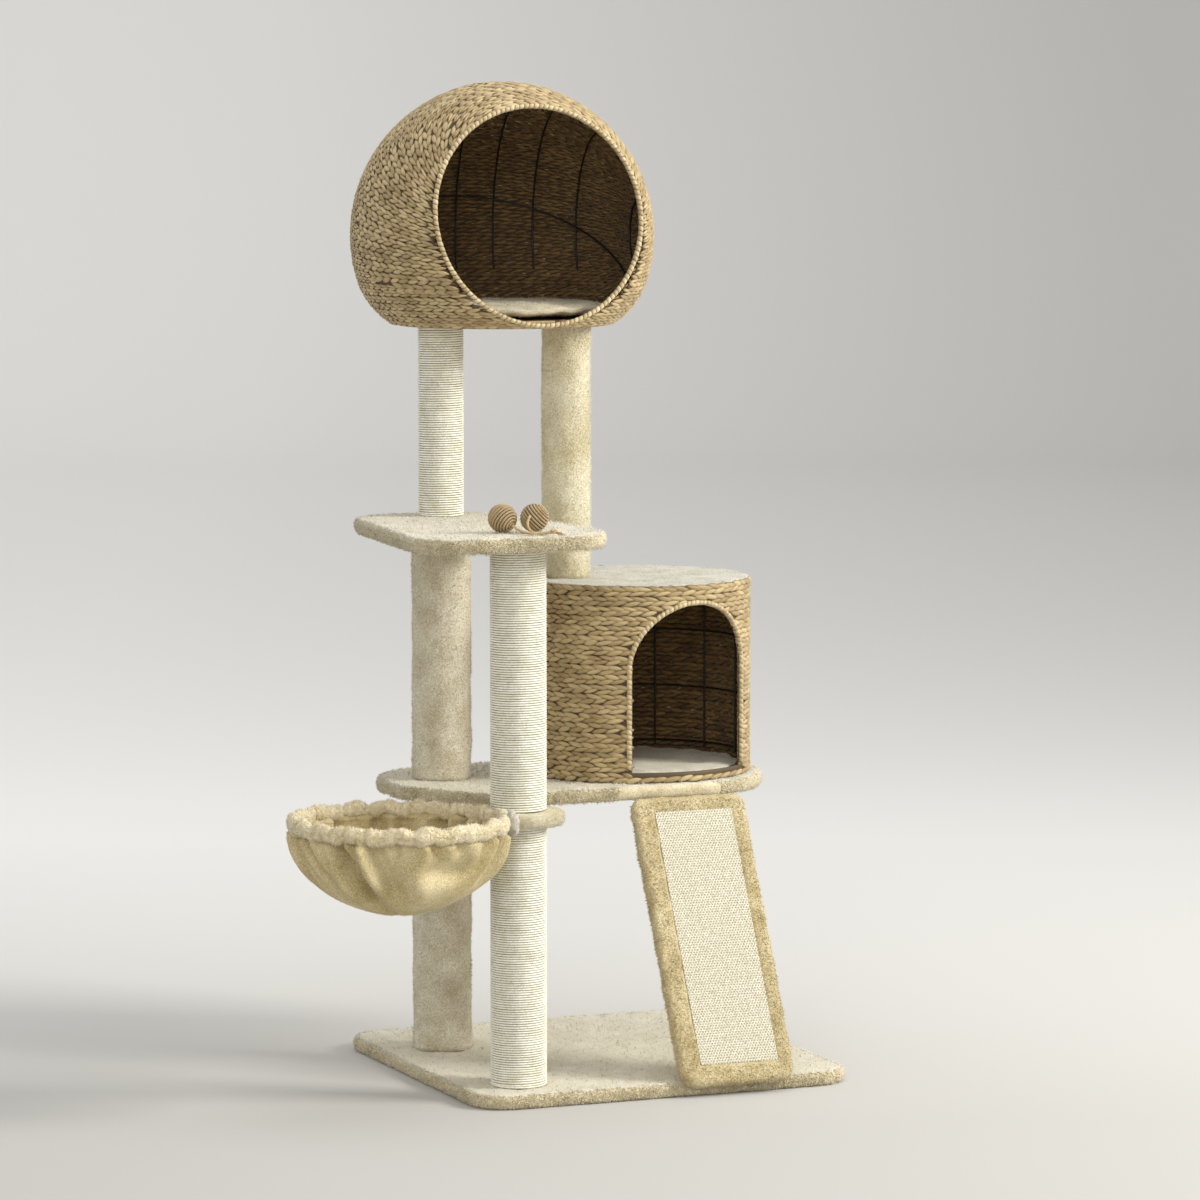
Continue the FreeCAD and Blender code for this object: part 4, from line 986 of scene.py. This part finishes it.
def globe_point(height, aim, drop):
    """Point of the ball's skin in the plane of the row that meets the door's plane at a
    height. The plane tips up to the back, by 80 degrees at the door's top. The point lies in
    the direction aim from the plane's own middle, found by halving the distance 26 times."""
    tip = math.radians(80.0) * np.clip((height + 0.090) / 0.299, 0, 1) ** 1.3
    front = np.stack([0 * height, -0.160 + (height - 0.035) * math.tan(tilt), height], -1)
    normal = np.stack([0 * tip, -np.sin(tip), np.cos(tip)], -1)
    centre = normal * np.sum(normal * front, axis=-1, keepdims=True)
    back = np.stack([0 * tip, np.cos(tip), np.sin(tip)], -1)
    ray = back * np.sin(aim)[..., None] + np.array((1.0, 0, 0)) * np.cos(aim)[..., None]
    near, far = np.zeros(height.shape), np.full(height.shape, 0.6)
    for _ in range(26):
        mid = (near + far) / 2
        p = centre + ray * mid[..., None]
        inside = ((np.hypot(p[..., 0], p[..., 1]) < profile(p[..., 2]) - drop)
                  & (p[..., 2] > foot_z + 0.001) & (p[..., 2] < ball_radius - drop * 0.5))
        near, far = np.where(inside, mid, near), np.where(inside, far, mid)
    return centre + ray * near[..., None]


def globe_rows(drop, facing, pitch, stitch, seed):
    """Places of the stitches: rows one pitch apart over the back of the ball, stitches evenly
    spaced along each. Where rows crowd towards the door, some end and the rest widen."""
    rng = np.random.default_rng(seed)
    fine = np.linspace(-0.1385, 0.2075, 700)
    back = globe_point(fine, np.full(len(fine), np.pi / 2), drop)
    climb = np.linalg.norm(np.diff(back, axis=0), axis=1)
    climb = np.concatenate([[0], np.cumsum(climb)])
    heights = np.interp(np.arange(0, climb[-1], pitch), climb, fine)
    aim = np.linspace(-1.45, np.pi + 1.45, 520)
    found = []
    for number, height in enumerate(heights):
        curve = globe_point(np.full(len(aim), height), aim, drop)
        length = np.concatenate([[0], np.cumsum(np.linalg.norm(np.diff(curve, axis=0), axis=1))])
        per = int(length[-1] / stitch)
        for half in (0, 1):
            s = (np.arange(per) + rng.uniform(0, 1) * (half == 0) + 0.5 * half) * stitch
            s = s + rng.normal(0, 0.0006, per)
            found.append(np.stack([np.full(per, height), np.interp(s, length, aim),
                                   np.full(per, half), np.full(per, number)], -1))
    height, here, half, number = np.concatenate(found).T
    at = globe_point(height, here, drop)
    way = globe_point(height, here + 0.01, drop) - at
    way /= np.maximum(np.linalg.norm(way, axis=1, keepdims=True), 1e-9)
    up = globe_point(height + 0.001, here, drop) - at
    up -= way * np.sum(up * way, axis=1, keepdims=True)
    gap = np.linalg.norm(up, axis=1) / 0.001 * np.gradient(heights)[number.astype(int)]
    up /= np.maximum(np.linalg.norm(up, axis=1, keepdims=True), 1e-9)
    out = np.cross(way, up)
    out *= np.sign(np.sum(out * at, axis=1))[:, None]
    along = np.cross(up, out)
    level = np.clip(np.ceil(np.log2(0.66 * pitch / np.maximum(gap, 1e-4))), 0, 4)
    wide = gap * 2.0 ** level
    at = at + up * (np.where(half > 0, 0.24, -0.24) * wide)[:, None]
    slant = np.where(half > 0, -1.0, 1.0) * wide * 0.16
    behind = -((at - door_middle) @ door_out)
    # a stitch that runs into the rim is shortened so that it only just passes it
    room = behind / np.maximum(np.abs(along @ door_out), 0.15)
    long = np.minimum(stitch * 1.55, 2 * (room + 0.004))
    keep = (number % (2.0 ** level) == 0) & (gap > 1e-4) & (behind > 0.002) & (long > 0.009)
    keep &= (at[:, 2] > foot_z + 0.003) & (wide < 2.2 * pitch)
    return at[keep], along[keep], out[keep] * facing, slant[keep], wide[keep], long[keep]


def in_pieces(name, at, along, out, length, width, thick, slant, lift, seed, finish, stations,
              share, around=6):
    """Weave split into parts small enough for one mesh each."""
    for part in range(share):
        some = slice(part, None, share)
        points, faces, tag = leaf_stitches(at[some] + ball_at, along[some], out[some],
                                           length[some], width[some], thick, slant[some], lift,
                                           seed + part, stations, around)
        make_piece("%s_%d" % (name, part + 1), points, faces, finish, "root",
                   ["globe_woven_shell"] if name.endswith("outside") else (), {"leaf": tag})


at, along, out, slant, wide, long = globe_rows(0.0027, 1, 0.0136, 0.0198, 101)
in_pieces("globe_weave_outside", at, along, out, long, wide * 0.61, 0.0027, slant, 0.0019, 102,
          leaf, 4, 3)
at, along, out, slant, wide, long = globe_rows(0.0068, -1, 0.0136, 0.0200, 103)
in_pieces("globe_weave_inside", at, -along, out, long, wide * 0.60, 0.0016, slant, 0.0008, 104,
          leaf_inside_painted_shade, 3, 2, around=4)

# the same dark sheet of painted shade behind the ball's weave
polar = np.concatenate([np.linspace(-0.1435, neck_z, 12), ball_radius * np.sin(
    np.linspace(math.asin(neck_z / ball_radius), math.radians(88.5), 60))[1:]])
turn = np.arange(180) / 180 * 2 * np.pi
skin = (profile(polar) - 0.0036)[:, None]
surface = np.stack([skin * np.cos(turn), skin * np.sin(turn), polar[:, None] + 0 * turn],
                   -1) + ball_at
thin_wall("globe_weave_shade_sheet", surface, 0.0018, leaf_shade_sheet, "root",
          lambda at: (at - ball_at - door_middle) @ door_out > -0.005)

# The door's wire rim is wrapped with a strand of the same leaf, paler where it is rubbed.
t = np.linspace(0, 2 * np.pi, 241)
rim_up = np.cross(door_out, (1.0, 0, 0))
spoke = np.cos(t)[:, None] * np.array((1.0, 0, 0)) + np.sin(t)[:, None] * rim_up
path = ball_at + door_middle + spoke * 0.1765
points, faces, tag = wrap_coil(path, spoke, np.tile(door_out, (241, 1)), 0.0030, 0.0038, 132,
                               0.0042, 0.0011, 106)
make_piece("globe_door_wrapping", points, faces, leaf_rim, "root",
           ["globe_door_binding"], {"leaf": tag})


# ---------------------------------------------------------------- cushions
# Loose cream fleece cushion in the globe and a thin pad on the condo's floor, both filled
# with fibre: crowned in the middle, with a seam round the edge.
def pillow(centre, radius, low, high, flat_side, seed):
    """Round stuffed pad: height falls from the crown to the seam as the 0.35 power of what is
    left of the radius, and flat_side cuts it straight in front."""
    turn = np.arange(150) / 150 * 2 * np.pi
    share = np.sin(np.linspace(0.02, np.pi / 2, 40))
    reach = np.minimum(radius, np.where(np.sin(turn) < -0.1, flat_side / np.maximum(
        -np.sin(turn), 0.1), radius))
    fall = (1 - share ** 2) ** 0.28
    mid, half = (low + high) / 2, (high - low) / 2

    def side(sign):
        x = centre[0] + share[:, None] * reach[None] * np.cos(turn)[None]
        y = centre[1] + share[:, None] * reach[None] * np.sin(turn)[None]
        z = mid + sign * half * fall[:, None] + 0 * x
        pucker = np.cos(turn * 24)[None] * (share ** 8)[:, None] * 0.0012
        return np.stack([x, y, z + pucker], -1)

    rings = np.concatenate([side(-1), side(1)[-2::-1]])
    rings = rings + (0.0012 * waves(rings.reshape(-1, 3), 0.05, seed)).reshape(
        rings.shape[:2] + (1,)) * (0, 0, 1)
    return close_tubes(rings[None])


cushion_low, cushion_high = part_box("globe_cushion")
points, faces = pillow((-0.112, 0.132), 0.170, cushion_low[2] - 0.002, cushion_high[2] - 0.007,
                       0.132 - cushion_low[1] + 0.003, 111)
cream = plush("fleece_cream", "#B0A488", "#E0D7C0", blotch_mm=45, speck_mm=2.4)
cushion = plush_piece("globe_cushion_fleece", points, faces, cream, "cushion",
                      ["globe_cushion"], 10000, 0.0036, 112, thick=0.0006)
points, faces = pillow(tuple(condo_at), 0.172, 0.4752, 0.4872, 0.172, 113)
pad = plush_piece("condo_pad_fleece", points, faces, greige, "root",
                  ["condo_floor_pad"], 6000, 0.0026, 114)


# ---------------------------------------------------------------- boards, tubes and metal
# What the covers hide or half hide: spiral-wound cardboard, plywood, particle board,
# black-coated wire and zinc-plated screws, bolts and hinges.
def speckled(name, dark, light, grain_mm, roughness, metallic=0.0, bump=0.3, stretch=(1, 1, 1)):
    """Two tones mixed by noise of one grain size, stretched where the material has a lie."""
    finish, tree, shader = new_finish(name, roughness, metallic=metallic)
    place = add(tree, "ShaderNodeTexCoord")
    lay = add(tree, "ShaderNodeMapping", {}, {"Scale": stretch},
              {"Vector": place.outputs["Object"]})
    grain = add(tree, "ShaderNodeTexNoise", {}, {"Scale": 1000.0 / grain_mm, "Detail": 4.0,
                "Roughness": 0.6}, {"Vector": lay.outputs[0]})
    tone = add(tree, "ShaderNodeMapRange", {}, {"From Min": 0.35, "From Max": 0.65},
               {"Value": grain.outputs["Fac"]})
    colour = add(tree, "ShaderNodeMix", {"data_type": "RGBA"},
                 {6: linear(dark), 7: linear(light)}, {0: tone.outputs[0]})
    relief = add(tree, "ShaderNodeBump", {}, {"Strength": bump, "Distance": 0.0003},
                 {"Height": grain.outputs["Fac"]})
    tree.links.new(colour.outputs[2], shader.inputs["Base Color"])
    tree.links.new(relief.outputs[0], shader.inputs["Normal"])
    return finish


hidden = {
    "cardboard": speckled("kraft_cardboard_tube", "#7C6C4A", "#A3936C", 3.0, 0.9,
                          stretch=(1, 1, 6)),
    "plywood": speckled("birch_plywood", "#B08F62", "#D9BE92", 12.0, 0.6, stretch=(0.3, 3, 3)),
    "particle_board": speckled("raw_particle_board", "#9A7F58", "#CDB489", 4.0, 0.85),
    "black_wire": speckled("black_coated_wire", "#0E0D0C", "#1E1C1A", 2.0, 0.45),
    "zinc_steel": speckled("zinc_plated_steel", "#A9ABA8", "#C9CAC6", 1.5, 0.35, 1.0, 0.1),
    "hinge_steel": speckled("nickel_plated_hinge_steel", "#B4B2AC", "#CFCDC6", 2.0, 0.3, 1.0, 0.1),
    # the balls' core is dark brown so that the gaps between the string windings show painted shade
    "ball_core": speckled("ball_core_foam_painted_shade", "#3A2C16", "#54422A", 2.0, 0.9),
}
for part in frame["record"]["subparts"]:
    if part["material_slot"] in hidden:
        node = frame["nodes"][part["node"]]
        node.data.materials.clear()
        node.data.materials.append(hidden[part["material_slot"]])


# ---------------------------------------------------------------- studio
# Pale floor that curves up into the backdrop, a large soft key light from the right.
across = np.linspace(-20.0, 20.0, 40)
run = np.linspace(0, 1, 160)
# the sheet lies flat for 44 m, past every place that the tree is looked at from, bends
# through a quarter turn of 3 m radius and stands up
bend = np.clip((run - 0.45) / 0.30, 0, 1) * np.pi / 2
deep = np.where(run < 0.45, -30.0 + run / 0.45 * 44.0, 14.0 + 3.0 * np.sin(bend))
high = np.where(run < 0.45, 0.0, 3.0 * (1 - np.cos(bend))) + np.maximum(run - 0.75, 0) * 20.0
look = math.radians(-22.6)
gx, gy = np.meshgrid(across, deep)
gz = np.broadcast_to(high[:, None], gx.shape)
sheet_points = np.stack([gx * math.cos(look) - gy * math.sin(look),
                         gx * math.sin(look) + gy * math.cos(look), gz - 0.0002], -1)
i, j = np.meshgrid(np.arange(159), np.arange(39), indexing="ij")
a = i * 40 + j
backdrop = bpy.data.meshes.new("studio_floor")
backdrop.from_pydata(sheet_points.reshape(-1, 3).tolist(), [],
                     np.stack([a, a + 1, a + 41, a + 40], -1).reshape(-1, 4).tolist())
backdrop.polygons.foreach_set("use_smooth", np.ones(len(backdrop.polygons), bool))
# matt paper with painted shade and painted light: darker on the floor and towards the right,
# lighter on the wall to the left, as the light falls
paper, tree, shader = new_finish("pale_studio_paper", 0.95)
right_shade_share = np.clip(0.42 + gx / 4.4, 0, 1)
wall_light_share = np.clip((gy + 0.6) / 3.4, 0, 1)
# the tone attribute carries this painted shade and painted light
paper_painted_shade = backdrop.attributes.new("tone", "FLOAT", "POINT")
paper_painted_shade.data.foreach_set(
    "value", (wall_light_share * (1 - 0.62 * right_shade_share)).ravel().astype(np.float32))
tone = add(tree, "ShaderNodeAttribute", {"attribute_name": "tone"})
shade = add(tree, "ShaderNodeMix", {"data_type": "RGBA"},
            {6: linear("#B9B7B2"), 7: linear("#F5F4F1")}, {0: tone.outputs["Fac"]})
tree.links.new(shade.outputs[2], shader.inputs["Base Color"])
backdrop.materials.append(paper)
floor = bpy.data.objects.new("studio_floor", backdrop)
bpy.context.scene.collection.objects.link(floor)


def soft_light(name, at, target, width, height, power, colour):
    """Rectangular area light at a place, turned to face a target."""
    lamp = bpy.data.lights.new(name, "AREA")
    lamp.shape, lamp.size, lamp.size_y = "RECTANGLE", width, height
    lamp.energy, lamp.color = power, linear(colour)[:3]
    holder = bpy.data.objects.new(name, lamp)
    holder.location = at
    away = np.array(target) - np.array(at)
    flat = math.hypot(away[0], away[1])
    holder.rotation_euler = (math.pi / 2 + math.atan2(away[2], flat), 0.0,
                             math.atan2(-away[0], away[1]))
    bpy.context.scene.collection.objects.link(holder)


soft_light("key_right", (3.6, -2.6, 3.0), (0, 0, 1.0), 1.6, 1.6, 235, "#FFFDF8")
soft_light("fill_front", (-2.5, -5.0, 2.2), (0, 0, 0.8), 3.0, 3.0, 66, "#FFFFFF")
soft_light("top", (0.3, -0.5, 4.2), (0, 0, 0.9), 3.0, 3.0, 34, "#FFFFFF")
world = bpy.data.worlds.new("studio_air")
world.use_nodes = True
world.node_tree.nodes["Background"].inputs["Color"].default_value = linear("#FDFDFD")
world.node_tree.nodes["Background"].inputs["Strength"].default_value = 0.75
bpy.context.scene.world = world
bpy.context.scene.view_settings.view_transform = "Standard"
